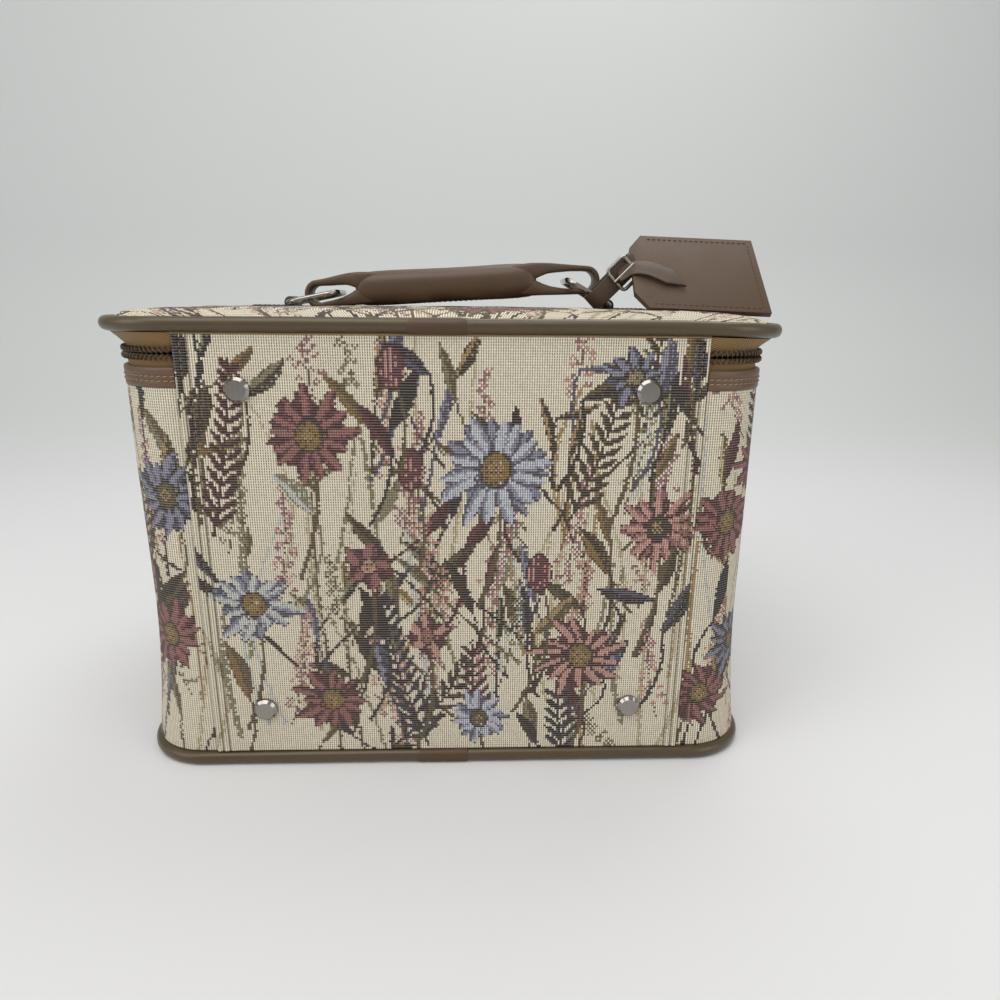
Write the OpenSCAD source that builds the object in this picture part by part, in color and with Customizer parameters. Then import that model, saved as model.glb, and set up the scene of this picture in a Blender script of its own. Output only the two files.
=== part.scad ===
// Soft-sided tapestry train case: zipped tapestry body, padded lid, carry handle on two rings, strapped tag.
// Millimetres. Origin at the middle of the flat underside, +X along the case, -Y the hinge side, +Z up.

/* [Case] */
// Width over the lid piping
case_w = 331; // [300:1:370]
// Depth over the lid piping
case_d = 206; // [190:1:230]
// Height to the top of the lid piping
case_h = 230; // [200:1:260]
// Plan corner radius over the piping
corner_r = 36; // [32:0.5:40]
// Piping diameter
piping_d = 6.8; // [5.6:0.1:7.6]

/* [Walls] */
// Tapestry thickness
fabric_t = 1.2; // [0.9:0.1:1.5]
// Stiffener board thickness
board_t = 2.2; // [1.6:0.1:2.6]
// Lining thickness
lining_t = 0.8; // [0.5:0.1:1]
// How far the walls stand inside the piping on the zipped sides
body_inset = 9; // [8:0.1:10]
// How far the walls flare out at the foot
wall_flare = 7.6; // [7:0.1:8]
// Height over which the walls flare
flare_h = 96; // [70:1:120]

/* [Hinge panel] */
// Share of the case's width that the hinge panel takes
panel_share = 0.739; // [0.68:0.001:0.743]
// Width of the turned edge of the panel
hem_w = 9.5; // [7:0.5:12]
// How far the turned edge stands proud
hem_t = 0.4; // [0.2:0.1:0.6]
// Distance between the studs across the panel
stud_gap_x = 189.6; // [160:0.5:205]
// Height of the lower studs
stud_low_z = 32.4; // [25:0.5:45]
// How far the upper studs stand below the top of the lid piping
stud_drop = 32.4; // [32:0.1:60]
// Stud cap diameter
stud_d = 11.8; // [9:0.1:14]
// Stud cap height
stud_h = 2.6; // [1.8:0.1:3.4]
// Stud shank diameter
shank_d = 4; // [3:0.1:5]

/* [Zip] */
// Width of the vinyl facing under the zip
facing_h = 9.5; // [7:0.1:11]
// Facing thickness
facing_t = 1.6; // [1.3:0.1:1.8]
// Zip tape thickness
tape_t = 0.8; // [0.6:0.1:1]
// Height of each coil half
coil_h = 2.4; // [2:0.1:2.8]
// How far the coil stands off its tape
coil_t = 2.9; // [2.4:0.1:3.2]
// Spacing of the coil turns
coil_pitch = 2.6; // [2:0.1:4]
// Slot between the two coil halves
chain_slot = 1.2; // [1:0.05:1.6]
// Drop from the lid piping centre to the middle of the zip
zip_drop = 13.2; // [12.6:0.1:15]
// How far the upper tape leans out to the lid
tape_lean = 6.4; // [5.8:0.1:7]
// Length of a zip slider
slider_l = 13; // [11:0.5:16]
// Height of a zip slider
slider_h = 8.4; // [7.6:0.1:9]
// Thickness of the slider plates
slider_t = 1.2; // [1:0.1:1.5]
// Bridge bar diameter
bridge_d = 1.6; // [1.4:0.1:2]
// Length of a zip pull
pull_l = 30; // [22:1:38]
// Width of a zip pull
pull_w = 8; // [6:0.5:10]
// Thickness of a zip pull
pull_t = 1.6; // [1.2:0.1:2]

/* [Lid] */
// Rise of the padded lid above the middle of the piping
lid_rise = 6; // [5:0.1:7.5]
// Half length of the level middle of the lid
level_x = 116; // [114:0.5:122]
// Half depth of the level middle of the lid
level_y = 20; // [17:0.5:30]
// Lid board thickness
lid_board_t = 2; // [1.6:0.1:2.2]

/* [Handle] */
// Grip length
grip_l = 92; // [80:1:100]
// Grip height
grip_h = 19.4; // [16:0.1:20]
// Grip width
grip_w = 26; // [20:0.5:30]
// Width of the end loops
loop_w = 16; // [12:0.5:17]
// Outer radius of the end loops
loop_r = 7.7; // [7.2:0.1:8]
// Thickness of the loop leather
loop_t = 2.7; // [2:0.1:2.8]
// Distance from the middle of the handle to the loop centre
loop_x = 76.3; // [72:0.1:80]
// Lean of the resting handle in degrees
handle_lean = 3.5; // [3:0.1:3.8]
// Height of the middle of the handle above the lid
handle_rise = 14.2; // [14:0.1:16]
// Sideways rest position of the handle
handle_shift = 1; // [-2:0.5:2]
// Ring wire diameter
ring_d = 3; // [2.6:0.1:3.2]
// Ring length between bar centres
ring_l = 28; // [26:0.5:30]
// Ring width between wire centres
ring_w = 32; // [30:0.5:36]
// Ring corner radius at the wire centre
ring_r = 6; // [4:0.5:6]
// Tab width
tab_w = 15; // [12:0.5:16]
// Tab length beyond its ring bar
tab_l = 22; // [16:0.5:23]
// Tab leather thickness
tab_t = 1.8; // [1.4:0.1:2.2]
// Height of the ring bar above the lid
bar_rise = 3.4; // [3.2:0.1:4]

/* [Tag] */
// Tag length
leaf_l = 70; // [56:1:74]
// Tag height
leaf_h = 62; // [50:1:66]
// Thickness of each tag leather
leaf_t = 1.4; // [1:0.1:1.8]
// Lean of the tag in degrees
leaf_lean = 39; // [36:1:42]
// Fall of the tag along its foot in degrees
leaf_roll = 3; // [2.6:0.1:3.4]
// Left end of the tag
leaf_x = 97; // [95:0.5:99]
// Foot of the tag in front of the middle of the lid
leaf_y = 51.5; // [50:0.5:54]
// Height of the foot of the tag above the lid
leaf_rise = 0.8; // [0.6:0.1:2]
// Strap width
strap_w = 10; // [8:0.5:10.5]
// Strap thickness
strap_t = 1.5; // [1.2:0.1:1.8]
// Inside radius of the strap loop
strap_r = 6; // [5.6:0.1:6.4]
// Length of the straight legs of the strap loop
strap_l = 19.5; // [16:0.5:22]
// Rise of the strap loop in degrees
strap_lean = 45; // [42:1:48]
// Where the strap sits along its ring
strap_seat = 9.5; // [9:0.1:10.5]
// How far the strap loop hangs outside the ring's wire
strap_shift = 2.3; // [2.1:0.1:2.5]
// Room left in the bend of the strap loop for the ring's wire
strap_room = 1.2; // [1:0.1:1.4]
// Buckle wire diameter
buckle_d = 2; // [1.6:0.1:2.4]

/* [Clearances] */
// Gap between layers that lie on each other
lay_gap = 0.1; // [0.05:0.05:0.15]
// Gap between pieces that move past each other
run_gap = 0.3; // [0.25:0.05:0.35]
// Play of a bar in its bore
bore_gap = 0.1; // [0.05:0.01:0.1]
// Overrun of a cut
cut_over = 1; // [0.5:0.5:2]

/* [Hidden] */
quarter = 90;
corner_steps = 8;
round_fn = 48;
fine_fn = 32;
half = 0.5;
piping_r = piping_d * half;
rim_z = case_h - piping_r;
foot_gap = lay_gap + lay_gap;
low_z = piping_r + foot_gap;
rim_x = case_w * half - piping_r;
rim_y = case_d * half - piping_r;
rim_r = corner_r - piping_r;
// The outer face of the walls at the zip, and the layers inside it
side_ref = case_w * half - body_inset;
front_ref = case_d * half - body_inset;
panel_face = rim_y + hem_t;
back_ref = panel_face - fabric_t;
wall_r = rim_r + hem_t;
board_in = fabric_t + lay_gap;
lining_in = board_in + board_t + board_t * half;
wall_z = low_z + piping_r + foot_gap;
panel_w = case_w * panel_share;
panel_half = panel_w * half;
stud_high_z = case_h - stud_drop;
panel_top = rim_z - piping_r - run_gap - hem_t - run_gap;
panel_low = wall_z + hem_t + lay_gap;
// The zip stack, from the middle of the chain
zip_z = rim_z - zip_drop;
coil_low = zip_z - chain_slot * half - coil_h;
coil_top = zip_z + chain_slot * half + coil_h;
tape_face_in = facing_t + run_gap;
facing_top = coil_low - coil_t;
facing_low = facing_top - facing_h;
tape_low = facing_low + coil_h * half;
tape_top = rim_z - piping_r - run_gap;
strip_end = min(panel_half + run_gap, side_ref - wall_r - run_gap);
coil_out = coil_t - tape_face_in;
lining_top = facing_top - fabric_t;
flare_shares = [0, 0.12, 0.3, 0.55, 1];
// The padded lid
lid_edge_x = rim_x - piping_r - lay_gap;
lid_edge_y = rim_y - piping_r - lay_gap;
lid_edge_r = rim_r - piping_r - lay_gap;
level_r = level_y * half;
lid_run_shares = [0, 0.015, 0.08, 0.25, 0.6, 1];
lid_rise_shares = [0, 0.45, 0.62, 0.78, 0.93, 1];
lid_top = rim_z + lid_rise;
lid_low = rim_z - lay_gap - lid_board_t - lay_gap - lining_t;
// The handle at rest and the rings that follow from it
handle_z = lid_top + handle_rise;
loop_z_share = 0.2;
loop_z = -loop_r * loop_z_share;
loop_hole_r = loop_r - loop_t;
eye_x = grip_l * half + loop_r;
eye_r = loop_t * half * half;
seat_x = (loop_x + eye_x) * half;
seat_z = loop_z + eye_r * half;
bar_z = lid_top + bar_rise;
ring_wire_r = ring_d * half;
left_seat_x = handle_shift - seat_x * cos(handle_lean) - seat_z * sin(handle_lean);
left_seat_z = handle_z - seat_x * sin(handle_lean) + seat_z * cos(handle_lean);
right_seat_x = handle_shift + seat_x * cos(handle_lean) - seat_z * sin(handle_lean);
right_seat_z = handle_z + seat_x * sin(handle_lean) + seat_z * cos(handle_lean);
left_angle = asin((left_seat_z - bar_z) / ring_l);
right_angle = asin((right_seat_z - bar_z) / ring_l);
left_bar_x = left_seat_x - ring_l * cos(left_angle);
right_bar_x = right_seat_x + ring_l * cos(right_angle);
hump_r = ring_wire_r + bore_gap + tab_t;
grip_shares = [-1, -0.975, -0.9, -0.5, 0, 0.5, 0.9, 0.975, 1];
grip_size_shares = [0.7, 0.9, 1, 0.98, 0.96, 0.98, 1, 0.9, 0.7];
grip_steps = 24;
grip_square = 0.7;
// The tag hangs on the near wire of the right ring
strap_off = strap_r * half - strap_room;
pivot = [right_bar_x - strap_seat * cos(right_angle), -ring_w * half - strap_shift, bar_z + strap_seat * sin(right_angle)];
buckle_r = buckle_d * half;
buckle_l = strap_w + buckle_d;
buckle_w = strap_w + buckle_d + buckle_d;
buckle_x = strap_off + strap_l * half;
buckle_y = -strap_r - strap_t - buckle_r - lay_gap;
leaf_clip_x_share = 0.1;
leaf_clip_y_share = 0.19;
// Sliders and pulls on the front run of the zip
slider_x = slider_l * half + run_gap + run_gap;
plate_y = front_ref + coil_out + run_gap;
back_plate_y = front_ref - tape_face_in - tape_t - run_gap;
web_t = chain_slot * half;
web_l = slider_l * half;
bridge_r = bridge_d * half;
bridge_y = plate_y + slider_t + bridge_r + bridge_r + bridge_r * half;
knuckle_r = bridge_r + bore_gap + bridge_r * half;
knuckle_l = slider_l * half * half + bridge_d;
post_w = bridge_d;
join_l = piping_d + piping_d + piping_d + piping_d;
join_t = hem_t;
join_x = -piping_r;
washer_d = stud_d - shank_d * half * half;
washer_t = board_t * half - run_gap;
pad_t = run_gap;

function flare(z) = z < flare_h ? wall_flare * pow(1 - z / flare_h, 2) : 0;

function arc_points(cx, cy, r, turn) = [for (i = [0:corner_steps])
    [cx + r * cos(turn + quarter * i / corner_steps), cy + r * sin(turn + quarter * i / corner_steps)]];

// One level of the wall in plan: o steps outward all round, f leans the zipped sides only
function plan_ring(o, f, end_x) =
    let (hx = side_ref + o + f, yf = front_ref + o + f, yb = back_ref + o, r = wall_r + o)
    concat(end_x > 0 ? [[end_x, -yb]] : [],
        arc_points(hx - r, r - yb, r, -quarter),
        arc_points(hx - r, yf - r, r, 0),
        arc_points(r - hx, yf - r, r, quarter),
        arc_points(r - hx, r - yb, r, quarter + quarter),
        end_x > 0 ? [[-end_x, -yb]] : []);

// A section of [outward step, lean, height] points carried along the wall
function strip_rows(section, end_x) =
    let (tracks = [for (v = section) plan_ring(v[0], v[1], end_x)])
    [for (i = [0:len(tracks[0]) - 1])
        [for (k = [0:len(section) - 1]) [tracks[k][i][0], tracks[k][i][1], section[k][2]]]];

function level_ring(hx, hy, r, z) =
    [for (p = concat(arc_points(hx - r, r - hy, r, -quarter), arc_points(hx - r, hy - r, r, 0),
        arc_points(r - hx, hy - r, r, quarter), arc_points(r - hx, r - hy, r, quarter + quarter)))
        [p[0], p[1], z]];

function mix(a, b, t) = a + (b - a) * t;

function lid_ring(i, inset, drop) =
    let (t = lid_run_shares[i])
    level_ring(mix(lid_edge_x - inset, level_x, t), mix(lid_edge_y - inset, level_y, t),
        mix(lid_edge_r - inset, level_r, t), rim_z + lid_rise * lid_rise_shares[i] - drop);

function wall_levels(low, top) = [for (s = flare_shares) mix(low, top, s)];

function wall_section(out, thick, low, top) =
    let (levels = wall_levels(low, top), n = len(levels))
    concat([for (i = [n - 1:-1:0]) [-out, flare(levels[i]), levels[i]]],
        [for (z = levels) [-out - thick, flare(z), z]]);

function squared(c, size) = size * sign(c) * pow(abs(c), grip_square);

module loft(rows, closed) {
    n = len(rows);
    k = len(rows[0]);
    last = closed ? n - 1 : n - 2;
    sides = [for (i = [0:last]) for (j = [0:k - 1])
        each [[i * k + j, ((i + 1) % n) * k + j, ((i + 1) % n) * k + (j + 1) % k],
            [i * k + j, ((i + 1) % n) * k + (j + 1) % k, i * k + (j + 1) % k]]];
    caps = closed ? [] : [[for (j = [0:k - 1]) j], [for (j = [k - 1:-1:0]) (n - 1) * k + j]];
    polyhedron(points = [for (row = rows) each row], faces = concat(sides, caps));
}

module rounded_plate(hx, hy, r, thick) {
    linear_extrude(thick) {
        square([2 * (hx - r), 2 * hy], center = true);
        square([2 * hx, 2 * (hy - r)], center = true);
        for (sx = [-1, 1], sy = [-1, 1])
            translate([sx * (hx - r), sy * (hy - r)])
                circle(r, $fn = round_fn);
    }
}

module piping_loop(z) {
    for (s = [-1, 1]) {
        translate([0, s * rim_y, z])
            rotate([0, quarter, 0])
                cylinder(r = piping_r, h = 2 * (rim_x - rim_r), center = true, $fn = fine_fn);
        translate([s * rim_x, 0, z])
            rotate([quarter, 0, 0])
                cylinder(r = piping_r, h = 2 * (rim_y - rim_r), center = true, $fn = fine_fn);
    }
    for (turn = [0:3])
        translate([(turn == 0 || turn == 3 ? 1 : -1) * (rim_x - rim_r),
            (turn < 2 ? 1 : -1) * (rim_y - rim_r), z])
            rotate([0, 0, quarter * turn])
                rotate_extrude(angle = quarter, $fn = round_fn)
                    translate([rim_r, 0])
                        circle(piping_r, $fn = fine_fn);
}

module piping_sleeve(z) {
    translate([join_x, -rim_y, z])
        rotate([0, quarter, 0])
            difference() {
                cylinder(r = piping_r + lay_gap + join_t, h = join_l, center = true, $fn = fine_fn);
                cylinder(r = piping_r + lay_gap, h = join_l + cut_over, center = true, $fn = fine_fn);
                translate([-piping_d, rim_y - lid_edge_y - lay_gap, -join_l])
                    cube([2 * piping_d, piping_d, 2 * join_l]);
            }
}

module stud_places() {
    for (sx = [-1, 1], z = [stud_low_z, stud_high_z])
        translate([sx * stud_gap_x * half, -panel_face, z])
            rotate([quarter, 0, 0])
                children();
}

// A closed wire ring, first bar on the origin, second bar at l, width along Y
module wire_ring(l, w, r, wire) {
    for (x = [0, l])
        translate([x, 0, 0])
            rotate([quarter, 0, 0])
                cylinder(r = wire, h = w - 2 * r, center = true, $fn = fine_fn);
    for (s = [-1, 1])
        translate([l * half, s * w * half, 0])
            rotate([0, quarter, 0])
                cylinder(r = wire, h = l - 2 * r, center = true, $fn = fine_fn);
    for (turn = [0:3])
        translate([turn == 0 || turn == 3 ? l - r : r, (turn < 2 ? 1 : -1) * (w * half - r), 0])
            rotate([0, 0, quarter * turn])
                rotate_extrude(angle = quarter, $fn = round_fn)
                    translate([r, 0])
                        circle(wire, $fn = fine_fn);
}

module stadium(x0, x1, r) {
    translate([x0, -r])
        square([x1 - x0, 2 * r]);
    for (x = [x0, x1])
        translate([x, 0])
            circle(r, $fn = round_fn);
}

module strap_frame() {
    translate(pivot)
        rotate([0, -strap_lean, 0])
            children();
}

module leaf_frame() {
    translate([leaf_x, -leaf_y, lid_top + leaf_rise])
        rotate([leaf_lean, 0, 0])
            rotate([0, 0, -leaf_roll])
                children();
}

module leaf_outline() {
    cx = leaf_l * leaf_clip_x_share;
    cy = leaf_h * leaf_clip_y_share;
    polygon([[0, cy], [cx, 0], [leaf_l, 0], [leaf_l, leaf_h], [cx, leaf_h], [0, leaf_h - cy]]);
}

// One leather of the tag, notched where it hangs in the strap loop
module leaf(low, thick) {
    difference() {
        leaf_frame()
            translate([0, 0, low])
                linear_extrude(thick)
                    leaf_outline();
        strap_frame()
            linear_extrude(strap_w + bore_gap + bore_gap, center = true)
                stadium(strap_off, strap_off + strap_l, strap_r + strap_t + bore_gap);
        strap_frame()
            translate([buckle_x - buckle_d, buckle_y - 2 * buckle_d, -buckle_w * half - buckle_d])
                cube([buckle_l + 2 * buckle_d, 2 * buckle_d - buckle_y, buckle_w + 2 * buckle_d]);
    }
}

module base_panel() {
    color("#c8c1af")
        rounded_plate(lid_edge_x, lid_edge_y, lid_edge_r, fabric_t);
}

module base_board() {
    color("#8d7a5f")
        translate([0, 0, fabric_t + lay_gap])
            rounded_plate(lid_edge_x - lay_gap, lid_edge_y - lay_gap, lid_edge_r - lay_gap, board_t);
}

module bottom_piping() {
    color("#5f5241")
        piping_loop(low_z);
}

module bottom_piping_join() {
    color("#5d4e3d")
        difference() {
            piping_sleeve(low_z);
            translate([join_x - join_l, -case_d, -cut_over])
                cube([join_l + join_l, case_d, cut_over]);
        }
}

module tapestry_wrap() {
    color("#c8c1af")
        loft(strip_rows(wall_section(0, fabric_t, wall_z, facing_low - lay_gap), strip_end), false);
}

module wall_board() {
    color("#8d7a5f")
        loft(strip_rows(wall_section(board_in, board_t, wall_z, facing_low - lay_gap), 0), true);
}

module body_lining() {
    floor_z = fabric_t + lay_gap + board_t + lay_gap;
    outer = strip_rows([for (z = wall_levels(floor_z, lining_top)) [-lining_in, flare(max(z, wall_z)), z]], 0);
    inner = strip_rows([for (z = wall_levels(floor_z + lining_t, lining_top))
        [-lining_in - lining_t, flare(max(z, wall_z)), z]], 0);
    levels = len(flare_shares);
    n = len(outer);
    color("#c9b48c")
        loft(concat([for (i = [0:levels - 1]) [for (j = [0:n - 1]) outer[j][i]]],
            [for (i = [levels - 1:-1:0]) [for (j = [0:n - 1]) inner[j][i]]]), false);
}

module hinge_panel() {
    color("#cbc4b2")
        difference() {
            union() {
                translate([-panel_half, -panel_face, panel_low])
                    cube([panel_w, fabric_t, panel_top - panel_low]);
                translate([-strip_end + hem_w, -back_ref, panel_low])
                    cube([2 * (strip_end - hem_w), pad_t, facing_low - panel_low]);
                for (s = [0, 1])
                    translate([s == 0 ? -panel_half : panel_half - hem_w, -panel_face - hem_t, panel_low])
                        cube([hem_w, fabric_t, panel_top - panel_low]);
            }
            stud_places()
                translate([0, 0, -fabric_t - pad_t - cut_over])
                    cylinder(d = shank_d + bore_gap, h = fabric_t + pad_t + cut_over + cut_over, $fn = fine_fn);
        }
}

module panel_studs() {
    cap_r = stud_d * half;
    color("#c9c9c6")
        stud_places()
            rotate_extrude($fn = round_fn)
                polygon([[0, -fabric_t - pad_t - washer_t], [shank_d * half, -fabric_t - pad_t - washer_t],
                    [shank_d * half, 0], [cap_r, 0], [cap_r, stud_h * half], [cap_r - stud_h * half, stud_h],
                    [0, stud_h]]);
}

module stud_washers() {
    color("#a8a8a4")
        stud_places()
            translate([0, 0, -fabric_t - pad_t - washer_t])
                difference() {
                    cylinder(d = washer_d, h = washer_t - lay_gap, $fn = fine_fn);
                    translate([0, 0, -cut_over])
                        cylinder(d = shank_d + bore_gap, h = washer_t + cut_over + cut_over, $fn = fine_fn);
                }
}

module zip_facing() {
    section = [[hem_t, 0, facing_top], [hem_t, 0, facing_low], [-fabric_t, 0, facing_low],
        [-fabric_t, 0, facing_top]];
    color("#5a4734")
        loft(strip_rows(section, strip_end), false);
}

module lower_zip_tape() {
    section = [[-tape_face_in, 0, zip_z - chain_slot * half], [-tape_face_in, 0, tape_low],
        [-tape_face_in - tape_t, 0, tape_low], [-tape_face_in - tape_t, 0, zip_z - chain_slot * half]];
    color("#5c4530")
        loft(strip_rows(section, strip_end), false);
}

module upper_zip_tape() {
    bend_z = coil_top + lay_gap;
    low = zip_z + chain_slot * half;
    top_in = tape_face_in + tape_t;
    section = [[-tape_face_in, tape_lean, tape_top], [-tape_face_in, 0, bend_z], [-tape_face_in, 0, low],
        [-top_in, 0, low], [-top_in, 0, bend_z], [-top_in, tape_lean, tape_top]];
    color("#60482f")
        loft(strip_rows(section, strip_end), false);
}

// One coil half, its turns cut as ribs on the outer face of the band
module coil_band(z) {
    inner = plan_ring(lay_gap - tape_face_in, 0, strip_end);
    mid = plan_ring(coil_out - coil_t * half, 0, strip_end);
    top = len(mid) - 1;
    turns = [for (i = [0:top - 1])
        let (a = mid[i], b = mid[i + 1], d = b - a, l = norm(d), count = max(1, round(l / coil_pitch)),
            out = [d[1], -d[0]] / l)
        for (k = [0:count - 1]) for (s = [0, 1])
            a + d * (k + s * half) / count + out * coil_t * half * (s == 0 ? 1 : half)];
    translate([0, 0, z])
        linear_extrude(coil_h)
            polygon(concat(turns, [for (i = [top:-1:0]) inner[i]]));
}

module lower_zip_coil() {
    color("#3f2f21")
        coil_band(coil_low);
}

module upper_zip_coil() {
    color("#3f2f21")
        coil_band(zip_z + chain_slot * half);
}

module lid_piping() {
    color("#5f5241")
        piping_loop(rim_z);
}

module lid_piping_join() {
    color("#5d4e3d")
        piping_sleeve(rim_z);
}

module lid_panel() {
    top = len(lid_run_shares) - 1;
    color("#c8c1af")
        loft(concat([for (i = [top:-1:0]) lid_ring(i, fabric_t, i == 0 ? 0 : fabric_t)],
            [for (i = [0:top]) lid_ring(i, 0, 0)]), false);
}

module lid_foam() {
    top = len(lid_run_shares) - 1;
    pad = fabric_t + lay_gap;
    color("#e0dccb")
        loft([for (i = [0:top]) lid_ring(i, pad + lay_gap, i == 0 ? 0 : pad + lay_gap)], false);
}

module lid_board() {
    color("#8d7a5f")
        translate([0, 0, rim_z - lay_gap - lid_board_t])
            rounded_plate(lid_edge_x - lay_gap, lid_edge_y - lay_gap, lid_edge_r - lay_gap, lid_board_t);
}

module lid_lining() {
    color("#c9b48c")
        translate([0, 0, lid_low])
            rounded_plate(lid_edge_x, lid_edge_y, lid_edge_r, lining_t);
}

// A tab lies on the lid, humps over its ring bar and runs outward
module handle_tab(bar_x, side) {
    translate([bar_x, 0, bar_z])
        rotate([quarter, 0, 0])
            difference() {
                linear_extrude(tab_w, center = true) {
                    circle(hump_r, $fn = round_fn);
                    translate([side < 0 ? -tab_l : -hump_r, -bar_rise + lay_gap])
                        square([tab_l + hump_r, tab_t - lay_gap]);
                    translate([-hump_r, -bar_rise + lay_gap])
                        square([2 * hump_r, bar_rise - lay_gap]);
                }
                cylinder(r = ring_wire_r + bore_gap, h = tab_w + cut_over, center = true, $fn = round_fn);
            }
}

module handle_tab_left() {
    color("#54422f")
        handle_tab(left_bar_x, -1);
}

module handle_tab_right() {
    color("#54422f")
        handle_tab(right_bar_x, 1);
}

module ring_left() {
    color("#c9c9c6")
        translate([left_bar_x, 0, bar_z])
            rotate([0, -left_angle, 0])
                wire_ring(ring_l, ring_w, ring_r, ring_wire_r);
}

module ring_right() {
    color("#c9c9c6")
        translate([right_bar_x, 0, bar_z])
            rotate([0, 0, quarter + quarter])
                rotate([0, -right_angle, 0])
                    wire_ring(ring_l, ring_w, ring_r, ring_wire_r);
}

module end_loop(side) {
    rotate([quarter, 0, 0])
        linear_extrude(loop_w, center = true)
            difference() {
                hull() {
                    translate([side * loop_x, loop_z])
                        circle(loop_r, $fn = round_fn);
                    translate([side * grip_l * half * half, 0])
                        square([loop_t, grip_h * half + loop_r], center = true);
                }
                hull() {
                    translate([side * loop_x, loop_z])
                        circle(loop_hole_r, $fn = round_fn);
                    translate([side * eye_x, loop_z + eye_r])
                        circle(eye_r, $fn = fine_fn);
                }
            }
}

module handle() {
    rows = [for (i = [0:len(grip_shares) - 1])
        [for (j = [0:grip_steps - 1])
            let (a = 2 * 2 * quarter * j / grip_steps, s = grip_size_shares[i])
            [grip_shares[i] * grip_l * half, squared(cos(a), grip_w * half * s),
                squared(sin(a), grip_h * half * s)]]];
    color("#54422f")
        translate([handle_shift, 0, handle_z])
            rotate([0, -handle_lean, 0]) {
                loft(rows, false);
                end_loop(-1);
                end_loop(1);
            }
}

module slider(side) {
    plate = [slider_l, slider_t, slider_h];
    translate([side * slider_x, 0, zip_z]) {
        translate([-slider_l * half, plate_y, -slider_h * half])
            cube(plate);
        translate([-slider_l * half, back_plate_y - slider_t, -slider_h * half])
            cube(plate);
        translate([side > 0 ? -slider_l * half : 0, back_plate_y - slider_t * half, -web_t * half])
            cube([web_l, plate_y - back_plate_y + slider_t, web_t]);
        for (s = [-1, 1])
            translate([s * (slider_l * half - post_w) - post_w * half, plate_y + slider_t * half, -bridge_r])
                cube([post_w, bridge_y + bridge_r - plate_y - slider_t * half, bridge_d]);
        translate([0, bridge_y, 0])
            rotate([0, quarter, 0])
                cylinder(r = bridge_r, h = slider_l - post_w - post_w, center = true, $fn = fine_fn);
    }
}

module slider_left() {
    color("#8f8a80")
        slider(-1);
}

module slider_right() {
    color("#8f8a80")
        slider(1);
}

module pull(side) {
    translate([side * slider_x, bridge_y, zip_z])
        difference() {
            union() {
                rotate([0, quarter, 0])
                    cylinder(r = knuckle_r, h = knuckle_l, center = true, $fn = fine_fn);
                translate([-knuckle_l * half, -pull_t * half, -pull_l * half])
                    cube([knuckle_l, pull_t, pull_l * half]);
                translate([-pull_w * half, -pull_t * half, -pull_l + pull_w * half])
                    cube([pull_w, pull_t, pull_l * half]);
                translate([0, 0, -pull_l + pull_w * half])
                    rotate([quarter, 0, 0])
                        cylinder(d = pull_w, h = pull_t, center = true, $fn = round_fn);
            }
            rotate([0, quarter, 0])
                cylinder(r = bridge_r + bore_gap, h = knuckle_l + cut_over, center = true, $fn = fine_fn);
            translate([0, 0, -pull_l + pull_w * half])
                rotate([quarter, 0, 0])
                    cylinder(d = pull_w * half, h = pull_t + cut_over, center = true, $fn = round_fn);
        }
}

module pull_left() {
    color("#8f8a80")
        pull(-1);
}

module pull_right() {
    color("#8f8a80")
        pull(1);
}

module tag_front() {
    color("#685643")
        leaf(leaf_t, leaf_t);
}

module tag_back() {
    color("#54422f")
        leaf(0, leaf_t - lay_gap);
}

module tag_strap() {
    far = strap_off + strap_l;
    color("#54422f")
        strap_frame()
            linear_extrude(strap_w, center = true)
                difference() {
                    stadium(strap_off, far, strap_r + strap_t);
                    stadium(strap_off, far, strap_r);
                }
}

module tag_buckle() {
    color("#c9c9c6")
        strap_frame()
            translate([buckle_x, buckle_y, 0])
                rotate([quarter, 0, 0])
                    wire_ring(buckle_l, buckle_w, buckle_d, buckle_r);
}

module tag_prong() {
    color("#c9c9c6")
        strap_frame()
            translate([buckle_x - buckle_r, buckle_y - buckle_d - lay_gap, 0])
                rotate([0, quarter, 0])
                    cylinder(r = buckle_r, h = buckle_l + buckle_d, $fn = fine_fn);
}

base_panel();
base_board();
bottom_piping();
bottom_piping_join();
tapestry_wrap();
wall_board();
body_lining();
hinge_panel();
panel_studs();
stud_washers();
zip_facing();
lower_zip_tape();
lower_zip_coil();
lid_piping();
lid_piping_join();
lid_panel();
lid_foam();
lid_board();
lid_lining();
upper_zip_tape();
upper_zip_coil();
handle_tab_left();
handle_tab_right();
ring_left();
ring_right();
handle();
slider_left();
slider_right();
pull_left();
pull_right();
tag_front();
tag_back();
tag_strap();
tag_buckle();
tag_prong();
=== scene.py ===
import math
import bmesh
import bpy
import numpy as np
from mathutils import Euler, Matrix, Vector


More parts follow.
